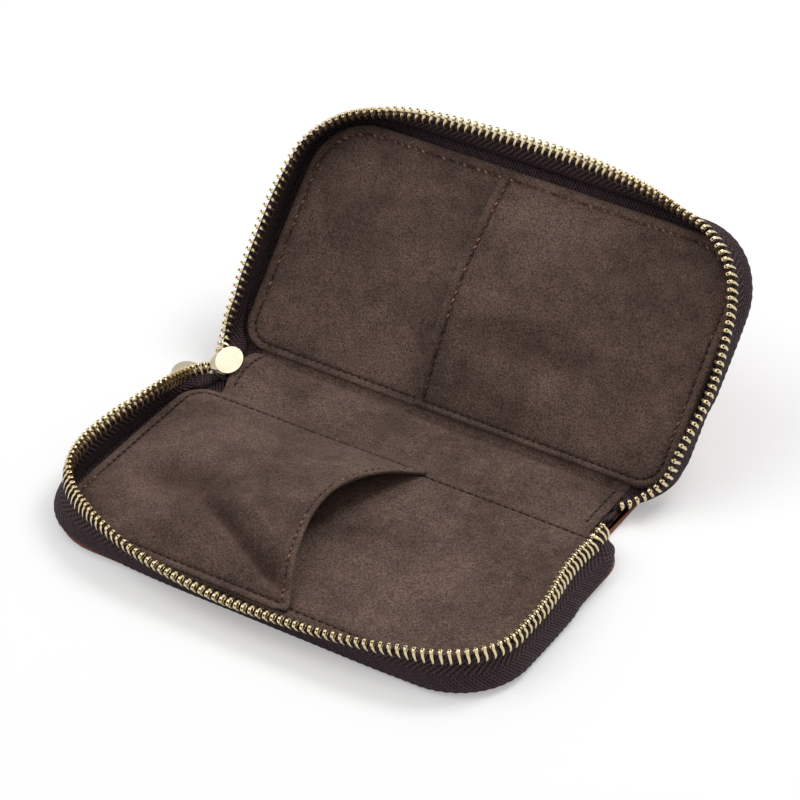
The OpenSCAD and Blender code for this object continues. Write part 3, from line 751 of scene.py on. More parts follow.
def leads():
    """Middles of the teeth, feet and sewn-in edges of the tape along each lead, and the ways it ends."""
    flat, low = LEATHER_T + 0.35, LEATHER_T + 0.4
    cross = (0, math.cos(ROLL), math.sin(ROLL))
    return {
        ("base", "left"): {
            "teeth": [(-79.4, 35.2, 9.3), (-79.4, 40.9, 7.3), (-78, 46.4, 5.9), by_slider(-3.4, -2.3, 0)],
            "foot": [(-75.8, 38.3, flat), (-73.6, 41, flat), (-71.4, 49, low)],
            "inner": [(-72.6, 34.6, flat), (-66.8, 40.5, flat), (-66, 49.5, flat)],
            "out": (-0.93, -0.36, 0), "aim": cross, "lip": 0.9,
        },
        ("lid", "left"): {
            "teeth": [(-80.5, 66.3, 15.2), (-80.5, 64.5, 11.5), (-80.2, 62.6, 8), (-78.6, 58.8, 5.9),
                      by_slider(-3.4, 2.3, 0)],
            "foot": [of_half("lid", -76.9, 5.9, flat), of_half("lid", -74, 1.4, flat), (-71.4, 59, low)],
            "inner": [of_half("lid", -72.6, 7.9, flat), of_half("lid", -66.8, 2, flat), (-66, 58.5, flat)],
            "out": (-0.93, 0.36, 0), "aim": tuple(-v for v in cross), "lip": 0.9,
        },
        ("base", "right"): {
            "teeth": [(74.7, 30.3, 12), (74.8, 33.4, 12.2), (74.5, 36.8, 11.7)],
            "foot": [(75.8, 38.3, flat), (73, 40.4, flat), (69.5, 43.5, low)],
            "inner": [(72.6, 34.6, flat), (66.8, 40.3, flat), (66, 46, flat)],
            "out": (0.85, -0.53, 0), "aim": (-0.32, 0.5, 0.8), "lip": 0.8,
        },
        ("lid", "right"): {
            "teeth": [(80, 66.8, 14.8), (78.4, 64.2, 11.2), (75.6, 61.8, 8.3), (72.6, 58.4, 6.2),
                      (68.6, 54.2, 5)],
            "foot": [of_half("lid", 76.9, 5.9, flat), of_half("lid", 73.6, 1.1, flat), (69.5, 60.5, low)],
            "inner": [of_half("lid", 72.6, 7.9, flat), of_half("lid", 66.8, 2, flat), (66, 61, flat)],
            "out": (0.85, 0.53, 0), "aim": (0.1, -0.85, 0.5), "lip": 0.8,
        },
    }


# How far past the back corner a lead takes over from the wall, how far back the wall's last point that
# guides it lies, and the distance between two stations of the tape
LEAD_START = 3.0
LEAD_GUIDE = 3.0
STATION = 0.36


def lengths(points):
    """Distance along a line of points, at each of them."""
    return np.concatenate([[0], np.cumsum(np.linalg.norm(np.diff(points, axis=0), axis=1))])


def curve(points, share):
    """Smooth curve from the second point to the last; the first one sets the way it starts."""
    points = np.array(points, float)
    knots = lengths(points)
    keys = np.column_stack([knots, points])
    at = knots[1] + share * (knots[-1] - knots[1])
    return np.stack([through(keys, at, c) for c in (1, 2, 3)], 1)


def lead_frame(path, side, lead):
    """The section's parts along a lead, from the wall to the lead's far end."""
    start = path.arc_b + LEAD_START
    u = np.array([start + LEAD_GUIDE, start])
    if side == "right":
        u = path.run - u
    wall = path.frame_at(u)
    reach = np.linalg.norm(np.diff([wall["teeth"][1], *lead["teeth"]], axis=0), axis=1).sum()
    share = np.linspace(0, 1, int(reach / STATION) + 1)[1:]
    found = {key: curve([*wall[key], *lead[key]], share) for key in ("inner", "foot", "teeth")}
    for key, far in (("out", lead["out"]), ("aim", lead["aim"]), ("up", (0, 0, 1)), ("rise", (0, 0, 1))):
        turn = wall[key][1] + smooth01(share)[:, None] * (np.array(far) - wall[key][1])
        found[key] = turn / np.linalg.norm(turn, axis=1, keepdims=True)
    found["lip"] = wall["lip"][1] + smooth01(share)[:, None] * (lead["lip"] - wall["lip"][1])
    return found


def whole_zip(half):
    """The section's parts along the whole tape of a half, its leads included, and the place of the
    middle tooth."""
    path = ZipPath(half)
    first = path.arc_b + LEAD_START
    u = np.linspace(first, path.run - first, int((path.run - 2 * first) / STATION))
    wall, all_leads = path.frame_at(u), leads()
    left = lead_frame(path, "left", all_leads[half, "left"])
    right = lead_frame(path, "right", all_leads[half, "right"])
    parts = {key: np.vstack([left[key][::-1], wall[key], right[key]]) for key in wall}
    around = np.linspace(0, path.run, ROW_STEPS + 1)
    sums = lengths(path.world(path.tooth_mid(around)))
    middle = np.interp(sums[-1] / 2, sums, around)
    full = lengths(parts["teeth"])
    count = int((sums[-1] - 2 * ROW_MARGIN) // mm("tooth_pitch")) + 1
    at = np.interp(middle, u, full[len(left["teeth"]) : len(left["teeth"]) + len(u)])
    return parts, at + (0 if count % 2 else mm("tooth_pitch") / 2)


# Rows of the tape across its foot, its lip and its climb
FOOT_STEPS = 4
LIP_STEPS = 11
CLIMB_STEPS = 18
# Cord that the teeth are clamped on: its width, how far short of their middles it ends, and half its
# thickness across it
CORD_W = 2.0
CORD_STOP = 0.45
CORD_HALF = (0.5, 0.75, 0.88, 0.88, 0.62)
# Knee where the lip turns up: its height, how far the lip runs out flat and how far it hangs below the knee
KNEE_H = 1.25
LIP_FLAT = 2.4
LIP_HANG = 3.3
LIP_HANG_SHARE = 0.8
# How hard the climb holds the ways that it starts and ends in
CLIMB_PULL = 0.9


def zip_rows(parts):
    """Middle surface of the tape: sewn-in foot, lip over the leather's edge, climb and cord."""
    inner, foot, out, up, lip = (parts[k] for k in ("inner", "foot", "out", "up", "lip"))
    rise = parts["rise"] / np.linalg.norm(parts["rise"], axis=1, keepdims=True)
    rows = [inner + (foot - inner) * t for t in np.linspace(0, 1, FOOT_STEPS)[:-1]]
    knee = foot + out * lip + up * KNEE_H
    hang = np.minimum(LIP_HANG, KNEE_H + lip * LIP_HANG_SHARE)
    knots = (foot, foot + out * np.minimum(LIP_FLAT, lip), knee - rise * hang, knee)
    for t in np.linspace(0, 1, LIP_STEPS):
        rows.append(sum(k * c for k, c in zip(knots, bernstein(t))))
    neck = parts["teeth"] - parts["aim"] * (CORD_STOP + CORD_W)
    pull = np.linalg.norm(neck - knee, axis=1, keepdims=True)
    for t in np.linspace(0, 1, CLIMB_STEPS)[1:]:
        rows.append(knee * (1 + 2 * t) * (1 - t) ** 2 + rise * pull * CLIMB_PULL * t * (1 - t) ** 2
                    + neck * t * t * (3 - 2 * t) + parts["aim"] * pull * CLIMB_PULL * t * t * (t - 1))
    for t in np.linspace(0.2, 1, len(CORD_HALF)):
        rows.append(neck + parts["aim"] * CORD_W * t)
    return np.stack(rows, 1)


def bernstein(t):
    """Shares of the four knots of a cubic curve."""
    return (1 - t) ** 3, 3 * t * (1 - t) ** 2, 3 * t * t * (1 - t), t**3


def tape_half():
    """Half thickness of the tape across its section, fatter where the cord is woven in."""
    plain = np.full(FOOT_STEPS - 1 + LIP_STEPS + CLIMB_STEPS - 1, mm("tape_t") / 2)
    return np.concatenate([plain, CORD_HALF])


# Height of the tape's ribs, and of the swells between two stitches of its seam
RIB_H = 0.1
SWELL_H = 0.08


def ribs(along, across):
    """Relief of the tape: slanting ribs beside the teeth and soft swells where the seam draws its lip in."""
    pitch, band = mm("rib_pitch"), mm("rib_band")
    ribbed = smooth01((across - CORD_W) / 0.5) * smooth01((CORD_W + band - across) / 0.8)
    lip = smooth01((across - CORD_W - band - 3) / 1.5)
    swell = np.sin(2 * math.pi * along / mm("stitch_pitch")) * SWELL_H
    return RIB_H * ribbed * np.sin(2 * math.pi * (along + across) / pitch) + lip * swell


# ---- Teeth ---------------------------------------------------------------------------------------


# Right half of a tooth's outline from its prong to its head, and the gap between the prongs
TOOTH_HALF = [(0.95, -2.5), (1.2, -2.75), (1.5, -2.45), (1.6, -1.4), (1.55, -0.4), (1.3, 0.35), (0.95, 0.75),
              (0.9, 1.1), (1.0, 1.45), (0.8, 1.85), (0.4, 2.05)]
TOOTH_GAP = [(0.95, -0.8), (0.6, -0.45)]
TOOTH_BEVEL = 0.2
# How far the prongs sweep apart along the zip, and the share of its thickness that a prong keeps
SWEEP = 0.55
PRONG_SHARE = 0.6
# Hollow in the head's face and pit in its end: x, y, z in half thicknesses, radius
HOLLOWS = [(0, 1.0, 1, 0.62), (0, 2.25, 0, 0.42)]
# Nub on the other face: radius, place along the head, flattening and how deep it sits
NUB_R = 0.45
NUB_Y = 1.12
NUB_FLAT = 0.9
NUB_SINK = 0.04


def tooth_blank(t):
    """A rounded tooth of half thickness t with prongs that sweep opposite ways, without its hollows."""
    left = [(-x, y) for x, y in TOOTH_HALF[::-1]] + [(-x, y) for x, y in TOOTH_GAP]
    outline = TOOTH_HALF + left + TOOTH_GAP[::-1]
    work = bmesh.new()
    face = work.faces.new([work.verts.new((x, y, -t)) for x, y in outline])
    moved = bmesh.ops.extrude_face_region(work, geom=[face])
    lifted = [v for v in moved["geom"] if isinstance(v, bmesh.types.BMVert)]
    bmesh.ops.translate(work, verts=lifted, vec=(0, 0, 2 * t))
    bmesh.ops.recalc_face_normals(work, faces=work.faces)
    rims = [e for e in work.edges if abs(e.verts[0].co.z - e.verts[1].co.z) < 1e-6]
    bmesh.ops.bevel(work, geom=rims, offset=TOOTH_BEVEL, segments=2, affect="EDGES", profile=0.6)
    for v in work.verts:
        v.co.z *= PRONG_SHARE + (1 - PRONG_SHARE) * float(smooth01((v.co.y + 2.2) / 3.2))
        v.co.z += SWEEP * v.co.x / 1.6 * float(smooth01((1.6 - v.co.y) / 3.2))
    return linked("tooth", mesh_from(work, "tooth"))


def hollowed(blank, t):
    """The mesh of a blank tooth with its hollow and its pit cut out."""
    cutters = []
    for x, y, z, radius in HOLLOWS:
        work = bmesh.new()
        bmesh.ops.create_uvsphere(work, u_segments=12, v_segments=8, radius=radius)
        cutter = linked("hollow", mesh_from(work, "hollow"))
        cutter.location = (x, y, z * t)
        cut = blank.modifiers.new("hollow", "BOOLEAN")
        cut.operation, cut.object, cut.solver = "DIFFERENCE", cutter, "EXACT"
        cutters.append(cutter)
    view = bpy.context.evaluated_depsgraph_get()
    shape = bpy.data.meshes.new_from_object(blank.evaluated_get(view))
    for thing in (blank, *cutters):
        bpy.data.objects.remove(thing)
    return shape


def tooth_mesh():
    """Points and faces of one tooth: x outwards across its prongs, y towards its head, z along the zip."""
    t = mm("tooth_t") / 2
    work = bmesh.new()
    work.from_mesh(hollowed(tooth_blank(t), t))
    nub = bmesh.ops.create_uvsphere(work, u_segments=10, v_segments=6, radius=NUB_R)
    for v in nub["verts"]:
        v.co = (v.co.x, v.co.y + NUB_Y, v.co.z * NUB_FLAT - t + NUB_SINK)
    bmesh.ops.triangulate(work, faces=[f for f in work.faces if len(f.verts) > 4])
    work.verts.index_update()
    points = np.array([v.co[:] for v in work.verts])
    faces = [[v.index for v in f.verts] for f in work.faces]
    work.free()
    return points, faces


def copies(points, faces, places):
    """One set of points and faces from copies of a mesh, each at a (3 by 3 axes, origin) place."""
    all_points = [points @ axes.T + origin for axes, origin in places]
    all_faces = [[i + k * len(points) for i in f] for k in range(len(places)) for f in faces]
    return np.vstack(all_points), all_faces


# Steps in which a row's length is measured, its bare tape at each end, and the same past the leads
ROW_STEPS = 2400
ROW_MARGIN = 2.8
ROW_END = 0.3


def square_axes(along, up):
    """Axes across, up and along, square to each other, with along kept."""
    along = along / np.linalg.norm(along)
    up = up - along * (up @ along)
    up = up / np.linalg.norm(up)
    return np.stack([np.cross(up, along), up, along], 1)


def row_places(half):
    """Places of the teeth round a half, at equal steps along the line of the teeth to both sides of
    its middle."""
    parts, middle = whole_zip(half)
    sums, pitch = lengths(parts["teeth"]), mm("tooth_pitch")
    before = math.floor((middle - ROW_END) / pitch)
    at = np.arange(middle - pitch * before, sums[-1] - ROW_END, pitch)

    def pick(key, s):
        return np.stack([np.interp(s, sums, parts[key][:, c]) for c in range(3)], 1)

    mid, up = pick("teeth", at), pick("aim", at)
    ahead = pick("teeth", np.minimum(at + 1, sums[-1])) - pick("teeth", np.maximum(at - 1, 0))
    return [(square_axes(ahead[k], up[k]), mid[k]) for k in range(len(at))]


# ---- Soft surfaces -------------------------------------------------------------------------------


def dents(half, x, y):
    """Soft hollows and swells of the lining."""
    seed = 3 if half == "base" else 8
    return 0.12 * wavy(x, y, 34, seed) + 0.04 * wavy(x, y, 11, 5)


def lining_over(half, x, y):
    """Height of a lining's face."""
    return LINING_TOP + dents(half, x, y)


def ridge(x, y, a, b, width, height, fade):
    """A rounded ridge, or a groove if height is negative, from point a to point b."""
    a, b = np.array(a, float), np.array(b, float)
    span = b - a
    long = np.hypot(*span)
    t = ((x - a[0]) * span[0] + (y - a[1]) * span[1]) / long
    off = ((x - a[0]) * -span[1] + (y - a[1]) * span[0]) / long
    ends = smooth01((t + fade) / (2 * fade)) * smooth01((long + fade - t) / (2 * fade))
    return height * ends * np.exp(-((off / width) ** 2))


def dome(x, y, at, size, height):
    """A rounded swell, or a hollow if height is negative."""
    return height * np.exp(-(((x - at[0]) / size[0]) ** 2) - ((y - at[1]) / size[1]) ** 2)


POCKETS = {
    "base": {"side": -1, "hem": "base_hem", "mouth": "base_mouth", "power": 0.8},
    "lid": {"side": 1, "hem": "lid_hem", "mouth": "lid_mouth", "power": 1.2},
}


def pocket_rise(half, x, y):
    """Share of the mouth's height over a point: 0 at the seams and 1 in the middle of the hem."""
    p = POCKETS[half]
    edge = CASE_L / 2 - mm("seam_in") - 1
    hem = mm(p["hem"])
    out = x * p["side"]
    along = np.clip((edge - out) / (edge + hem), 0, 1)
    corner = mm("front_r") - mm("pocket_in")
    inset = np.maximum(0, out - (CASE_L / 2 - mm("pocket_in") - corner))
    drop = corner - np.sqrt(np.maximum(corner**2 - inset**2, 0))
    low, high = mm("fold_seam"), HALF_D - mm("seam_in") - drop
    across = np.clip((y - low) / (high - low), 0, 1)
    return along ** p["power"] * np.sin(math.pi * across) ** 0.9


# Pulled folds of each pocket (from, to, width, height, fade), its swells (middle, size, height) and the
# size and seed of its soft waves
FOLDS = {
    "base": {
        "ridges": [((-31, 56), (7, 75), 2.6, -3.4, 8), ((-44, 46), (-31, 56), 5.0, -1.6, 8),
                   ((-22, 53), (9, 69), 3.4, 1.8, 8), ((-62, 60), (-24, 76), 5.0, 0.9, 8)],
        "swells": [((-52, 50), (11, 8), -2.6), ((-52, 24), (22, 9), 0.9)],
        "waves": (22, 11),
    },
    "lid": {
        "ridges": [((-2, 30), (44, 31), 6.0, -1.5, 10), ((52, 12), (70, 48), 6.5, -1.0, 8)],
        "swells": [((34, 16), (18, 7), 1.1), ((38, 52), (26, 16), 0.8)],
        "waves": (24, 21),
    },
}
WAVE_H = 0.25


def pocket_folds(half, x, y):
    """Height of a pocket's folds, swells and waves."""
    folds = FOLDS[half]
    total = sum(ridge(x, y, *fold) for fold in folds["ridges"])
    for swell in folds["swells"]:
        total = total + dome(x, y, *swell)
    return total + WAVE_H * wavy(x, y, *folds["waves"])


# Air under a pocket, and the share of its rise over which the folds come in from the seams
POCKET_GAP = 0.06
FOLD_IN_SHARE = 0.25
# Turned hem: half its width, how softly it ends and how much thicker it is
HEM_HALF = 2.6
HEM_FADE = 0.8
HEM_T = 0.6
# Depth of a pulled fold at which its painted shade would be full, and the most painted shade that it gets
DENT_DEEP = 3
DENT_DARK = 0.8


def pocket_under(half, x, y):
    """Height of a pocket's inner face."""
    rise = pocket_rise(half, x, y)
    lift = mm(POCKETS[half]["mouth"]) * rise
    edge = smooth01(rise / FOLD_IN_SHARE)
    return lining_over(half, x, y) + POCKET_GAP + np.maximum(lift + edge * pocket_folds(half, x, y), 0)


def pocket_over(half, x, y):
    """Height of a pocket's outer face."""
    hem = -POCKETS[half]["side"] * mm(POCKETS[half]["hem"])
    near_hem = 1 - smooth01((np.abs(x - hem) - HEM_HALF) / HEM_FADE)
    return pocket_under(half, x, y) + mm("suede_t") + HEM_T * near_hem


def drawn(half, points):
    """Draws the base pocket's hem back where it stands open."""
    if half == "base":
        x, y = points[:, 0], points[:, 1]
        edge = CASE_L / 2 - mm("pocket_in")
        u = np.clip((mm("base_hem") - x) / (mm("base_hem") + edge), 0, 1)
        points = points.copy()
        points[:, 0] = x - mm("hem_draw") * pocket_rise(half, x, y) * (1 - u) ** 2
    return points


def soft_edge(seam, under=1.2):
    """Profile of a turned-in suede edge with a sewn channel at seam from the edge; the turned edge and the
    channel get painted shade.
    """
    return [(under, 0, 0, 0), (0.3, 0, 0, 0), (0, 0.35, 0, 0.6), (0, -0.55, 1, 0.3), (0.14, -0.3, 1, 0),
            (0.5, -0.08, 1, 0), (1.0, 0, 1, 0), (seam - 1.0, -0.02, 1, 0), (seam - 0.55, -0.18, 1, 0.15),
            (seam - 0.28, -0.34, 1, 0.75), (seam, -0.42, 1, 1), (seam + 0.28, -0.34, 1, 0.75),
            (seam + 0.55, -0.18, 1, 0.15), (seam + 1.0, 0, 1, 0), (seam + 2.2, 0.1, 1, 0),
            (seam + 4, 0.14, 1, 0)]


def half_rect(inset, back):
    """Rectangle of a half, moved in from its outline, and from the fold by back."""
    return (inset - CASE_L / 2, CASE_L / 2 - inset, back, HALF_D - inset)


def seam_ring():
    """The stitch line round a half."""
    back, front = mm("back_r") - mm("fold_seam"), mm("front_r") - mm("seam_in")
    rect = half_rect(mm("seam_in"), mm("fold_seam"))
    return ring(rect, (back, back, front, front), 0, (1, 1, 1, 1), (60, 30))


# ---- Stitches ------------------------------------------------------------------------------------


# How far a stitch stands over its line in the middle, how far it dips from there to its ends, how far it
# slants to each side and its thickness along it
STITCH_RISE = 0.18
STITCH_DIP = 1.9
STITCH_SLANT = 0.25
STITCH_SHAPE = np.array([0.55, 0.9, 1, 1, 1, 0.9, 0.55])
# Sides of the thread, and how unevenly the painted highlight varies from stitch to stitch
THREAD_SIDES = 8
HIGHLIGHT_SHARE = 1.4
HIGHLIGHT_POWER = 1.5


def stitches(name, line, up, body, closed=False, warm=0.0):
    """Thread stitches along a line of points; each dips into the cloth, with a painted highlight in its
    middle that fades to painted shade at both ends.
    """
    line, up = np.asarray(line, float), np.asarray(up, float)
    warm = np.broadcast_to(warm, len(line))
    if closed:
        line, up = np.vstack([line, line[:1]]), np.vstack([up, up[:1]])
        warm = np.append(warm, warm[0])
    sums = lengths(line)
    count = max(1, round(sums[-1] / mm("stitch_pitch")))
    pitch = sums[-1] / count
    radius, sides, rings = mm("thread_d") / 2, THREAD_SIDES, len(STITCH_SHAPE)
    turn = 2 * math.pi * np.arange(sides) / sides
    points, faces, highlights = [], [], []
    chance = np.random.default_rng(count)
    for k in range(count):
        t = np.linspace(-0.5, 0.5, rings)
        s = np.clip((k + 0.5) * pitch + t * mm("stitch_l"), 0, sums[-1])
        mid = np.stack([np.interp(s, sums, line[:, c]) for c in range(3)], 1)
        rise = np.stack([np.interp(s, sums, up[:, c]) for c in range(3)], 1)
        rise /= np.linalg.norm(rise, axis=1, keepdims=True)
        along = np.gradient(mid, axis=0)
        along /= np.maximum(np.linalg.norm(along, axis=1, keepdims=True), 1e-9)
        side = np.cross(along, rise)
        lift = STITCH_RISE - STITCH_DIP * t[:, None] ** 2
        mid = mid + rise * lift + side * (STITCH_SLANT * 2 * t[:, None])
        loop = np.cos(turn)[None, :, None] * side[:, None] + np.sin(turn)[None, :, None] * rise[:, None]
        points.append((mid[:, None] + radius * STITCH_SHAPE[:, None, None] * loop).reshape(-1, 3))
        # Painted highlight of each stitch, varying at random and by place, largest in its middle and gone at
        # its ends
        highlight = np.interp(s[rings // 2], sums, warm) * HIGHLIGHT_SHARE * chance.random() ** HIGHLIGHT_POWER
        highlights.append(np.repeat(highlight * (1 - np.abs(2 * t) ** 3), sides))
        base = k * rings * sides
        for i in range(rings - 1):
            for j in range(sides):
                a, b = base + i * sides + j, base + i * sides + (j + 1) % sides
                faces.append((a, b, b + sides, a + sides))
        faces.append(tuple(base + j for j in range(sides))[::-1])
        faces.append(tuple(base + (rings - 1) * sides + j for j in range(sides)))
    piece = put(name, np.vstack(points), faces, "thread", warm=np.concatenate(highlights))
    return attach(piece, body)


# ---- Operators -----------------------------------------------------------------------------------


class CASE_OT_inner_layers(bpy.types.Operator):
    """Boards and foam inside the halves and the spine"""

    bl_idname = "case.inner_layers"
    bl_label = "Inner layers"

    def execute(self, context):
        for node in ("base_board", "lid_board", "spine_board"):
            dress_node(node, "board")
        for node in ("base_foam", "lid_foam"):
            dress_node(node, "foam")
        return {"FINISHED"}


def leather_profile(seam):
    """Leather from its inner face round a burnished edge to its outer face, with a channel for the seam."""
    return [(1.5, 0, 1, 0), (0.35, 0, 1, 0), (0.08, -0.2, 1, 0), (0, -0.5, 1, 0), (0, 0.5, 0, 0),
            (0.1, 0.2, 0, 0), (0.4, 0, 0, 0), (seam - 0.9, 0, 0, 0), (seam - 0.4, 0.14, 0, 1),
            (seam, 0.3, 0, 1), (seam + 0.4, 0.14, 0, 1), (seam + 0.9, 0, 0, 0)]


def bent(points, share):
    """Points of the flat spine, turned about the lid's fold by a share of its tilt."""
    a = TILT * share
    y, z = points[:, 1] - LID_FOLD_Y, points[:, 2] - AXIS_Z
    c, s = np.cos(a), np.sin(a)
    return np.stack([points[:, 0], LID_FOLD_Y + y * c - z * s, AXIS_Z + y * s + z * c], 1)


# How far to each side of a fold a strip bends, and reaches given for the tape and teeth, which nothing bends
FOLD_REACH = 2.2
LEAD_REACH = {"base": (4.5, 4), "lid": (4, 4.5)}
# Points of a strip across the fold and along it, the round of its ends and its steps in from them
STRIP_ACROSS = 40
STRIP_ALONG = 130
STRIP_ROUND = 0.5
EDGE_STEPS = np.concatenate([[0, 0.08, 0.25, 0.5], np.arange(0.8, 5.4, 0.35)])


def fold_strip(name, kind, fold, ends, y0, y1, z0, z1, lift):
    """A strip across a fold, from y0 to y1 with its faces at z0 and z1, that bends with it. ends gives its
    left and right x at each y, and lift how far it rises and how much painted shade it gets."""
    y = np.linspace(y0, y1, STRIP_ACROSS)
    left, right = ends(y)
    width = right - left - 2 * EDGE_STEPS[-1]
    inner = np.linspace(0, 1, STRIP_ALONG)[1:-1, None] * width + left + EDGE_STEPS[-1]
    grid_x = np.vstack([left + EDGE_STEPS[:, None], inner, (right - EDGE_STEPS[:, None])[::-1]])
    grid_y = np.broadcast_to(y, grid_x.shape)
    rise, press = lift(grid_x, grid_y, left, right)
    middle = np.stack([grid_x, grid_y, (z0 + z1) / 2 + rise], -1)
    near = np.clip(np.minimum(grid_x - left, right - grid_x) / STRIP_ROUND, 0, 1)
    half = (z1 - z0) / 2 * np.sqrt(np.maximum(1 - (1 - near) ** 2, 0.05))
    points, faces, _ = strip_solid(middle, half)
    if fold == "lid":
        share = smooth01((points[:, 1] - LID_FOLD_Y + FOLD_REACH) / (2 * FOLD_REACH))
        points = bent(points, share)
    piece = put(name, points, faces, kind, sharp=60, press=np.tile(press.ravel(), 2))
    blend_fold(piece, fold, FOLD_REACH, FOLD_REACH)
    return piece


def blend_fold(piece, fold, before, after):
    """Bakes a piece's placement into its mesh."""
    if fold == "base":
        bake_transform(piece)
    else:
        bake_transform(piece)


# Left end of the spine's lining: distance from the base fold, x of the edge, and how far the edge lifts
SPINE_END = [(0.5, -67.8, 0.2), (6.8, -68.3, 4.2), (13.7, -68.6, 4.5), (21.4, -68.6, 2.2), (25, -68.6, 0)]
# Distance over which the curl dies out
CURL = 12.5
# How far the lining over the spine reaches past each fold, and its thickness
LINING_PAST = 3.6
LINING_SKIN = 0.7
# Where it sinks in over the folds, how wide and how deep
SPINE_SAGS = ((FOLD_Y + 1, 2, 0.3), (LID_FOLD_Y - 1.5, 1.8, 0.7))
# Half the width of its end seams' channel, the depth of the channel and the height of its waves
SPINE_SEAM_HALF = 0.45
SPINE_SEAM_DEEP = 0.25
SPINE_WAVE_H = 0.1


def spine_ends(y):
    """Ends of the spine's lining."""
    return through(SPINE_END, y - FOLD_Y, 1), 0 * y + LINING_L / 2


def spine_lift(x, y, left, right):
    """Rise of the spine's lining, curled up at its left end, and the painted shade in the channel of its end
    seams.
    """
    into = x - left
    curl = np.maximum(through(SPINE_END, y - FOLD_Y, 2), 0) * (1 - smooth01(into / CURL)) ** 0.8
    sag = sum(-deep * np.exp(-(((y - at) / wide) ** 2)) for at, wide, deep in SPINE_SAGS)
    inside = smooth01((y - FOLD_Y - 2) / 2) * smooth01((LID_FOLD_Y - 2 - y) / 2)
    off = (np.minimum(into, right - x) - mm("spine_seam")) / SPINE_SEAM_HALF
    seam = np.exp(-(off**2)) * inside
    waves = SPINE_WAVE_H * wavy(x, (y - SPINE_MID) * 0.7, 30, 4)
    return curl + sag + waves - SPINE_SEAM_DEEP * seam, seam


def level(height):
    """A flat face of a panel, as a function of x and y."""

    def face(x, y):
        return 0 * x + height

    return face


# Gap between the panels at a fold, and how far the leather over it reaches past the straight stretch
FOLD_GAP = 0.15
FOLD_PAST = 2
# Half the width of the leather over a fold, and how far it keeps from the panels' outer and inner face
FOLD_HALF = 2
FOLD_SKIN = (0.12, 0.15)


def fold_ends(y):
    """Ends of the leather over a fold."""
    reach = CASE_L / 2 - mm("back_r") + FOLD_PAST
    return 0 * y - reach, 0 * y + reach


def fold_lift(x, y, left, right):
    """The leather over a fold lies level and gets full painted shade all over."""
    return 0 * x, 1 + 0 * x


class CASE_OT_leather(bpy.types.Operator):
    """Outer leather of both halves and the spine, with the two folds between them"""

    bl_idname = "case.leather"
    bl_label = "Outer leather"

    def execute(self, context):
        back, front = mm("back_r"), mm("front_r")
        profile = leather_profile(mm("seam_in"))
        scale = (1, 1, mm("fold_seam") / mm("seam_in"), 1)
        for half in ("base", "lid"):
            points, faces, _ = panel(half_rect(0, FOLD_GAP), (back, back, front, front), scale, (120, 60),
                                     profile, level(0), level(LEATHER_T))
            piece = put(f"{half}_leather_panel", on_half(half, points), faces, "leather")
            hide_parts(f"{half}_leather")
            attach(piece, half)
        rect = (-SPINE_L / 2, SPINE_L / 2, FOLD_Y + FOLD_GAP, LID_FOLD_Y - FOLD_GAP)
        points, faces, _ = panel(rect, (1.5,) * 4, (1, 1, 0.5, 0.5), (120, 16), profile[:7],
                                 level(0), level(LEATHER_T))
        # Painted shade on the spine leather's inner face, short of its rim
        inside = (points[:, 2] > 1) & (np.abs(points[:, 0]) < SPINE_L / 2 - 0.8)
        piece = put("spine_leather_panel", points, faces, "leather", press=inside)
        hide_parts("spine_leather")
        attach(piece, "spine")
        for fold, y in (("base", FOLD_Y), ("lid", LID_FOLD_Y)):
            fold_strip(f"{fold}_fold_leather", "leather", fold, fold_ends, y - FOLD_HALF, y + FOLD_HALF,
                       FOLD_SKIN[0], LEATHER_T - FOLD_SKIN[1], fold_lift)
        return {"FINISHED"}


class CASE_OT_linings(bpy.types.Operator):
    """Padded suede linings of both halves and the strip of lining over the spine"""

    bl_idname = "case.linings"
    bl_label = "Suede linings"

    def execute(self, context):
        inset, back = mm("lining_in"), mm("fold_in")
        radii = (mm("back_r") - back,) * 2 + (mm("front_r") - inset,) * 2
        seam = mm("seam_in") - inset
        scale = (1, 1, (mm("fold_seam") - back) / seam, 1)
        for half in ("base", "lid"):
            points, faces, press = panel(half_rect(inset, back), radii, scale, (120, 62), soft_edge(seam),
                                         level(SEAM_Z), partial(lining_over, half))
            points[:, 2] = np.maximum(points[:, 2], SEAM_Z)
            piece = put(f"{half}_lining_suede", on_half(half, points), faces, "suede", press=press)
            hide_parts(f"{half}_lining")
            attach(piece, half)
        reach = {"base": (FOLD_Y - LINING_PAST, SPINE_MID), "lid": (SPINE_MID, LID_FOLD_Y + LINING_PAST)}
        for fold, (y0, y1) in reach.items():
            piece = fold_strip(f"{fold}_fold_lining", "suede", fold, spine_ends, y0, y1,
                               SPINE_TOP - LINING_SKIN, SPINE_TOP, spine_lift)
            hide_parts("spine_lining")
        return {"FINISHED"}


class CASE_OT_pockets(bpy.types.Operator):
    """Slip pockets of both halves, sewn on three sides and open at the hem"""

    bl_idname = "case.pockets"
    bl_label = "Slip pockets"

    def execute(self, context):
        inset = mm("pocket_in")
        back = mm("fold_in") + inset - mm("lining_in")
        seam = mm("seam_in") - inset
        fold_scale = (mm("fold_seam") - back) / seam
        far, rb, rf, tight = CASE_L / 2 - inset, mm("back_r") - back, mm("front_r") - inset, 1.2
        for half, p in POCKETS.items():
            if p["side"] < 0:
                rect, radii = (-far, mm(p["hem"]), back, HALF_D - inset), (rb, tight, tight, rf)
            else:
                rect, radii = (-mm(p["hem"]), far, back, HALF_D - inset), (tight, rb, rf, tight)
            points, faces, press = panel(rect, radii, (1, 1, fold_scale, 1), (80, 74), soft_edge(seam, 1.0),
                                         partial(pocket_under, half), partial(pocket_over, half))
            # Painted shade in the dents of the pulled folds, on top of that in the seam's channel
            dents = -pocket_folds(half, points[:, 0], points[:, 1]) / DENT_DEEP
            press = np.maximum(press, np.clip(dents, 0, DENT_DARK))
            points = on_half(half, drawn(half, points))
            piece = put(f"{half}_pocket_suede", points, faces, "suede", press=press)
            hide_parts(f"{half}_pocket")
            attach(piece, half)
        return {"FINISHED"}


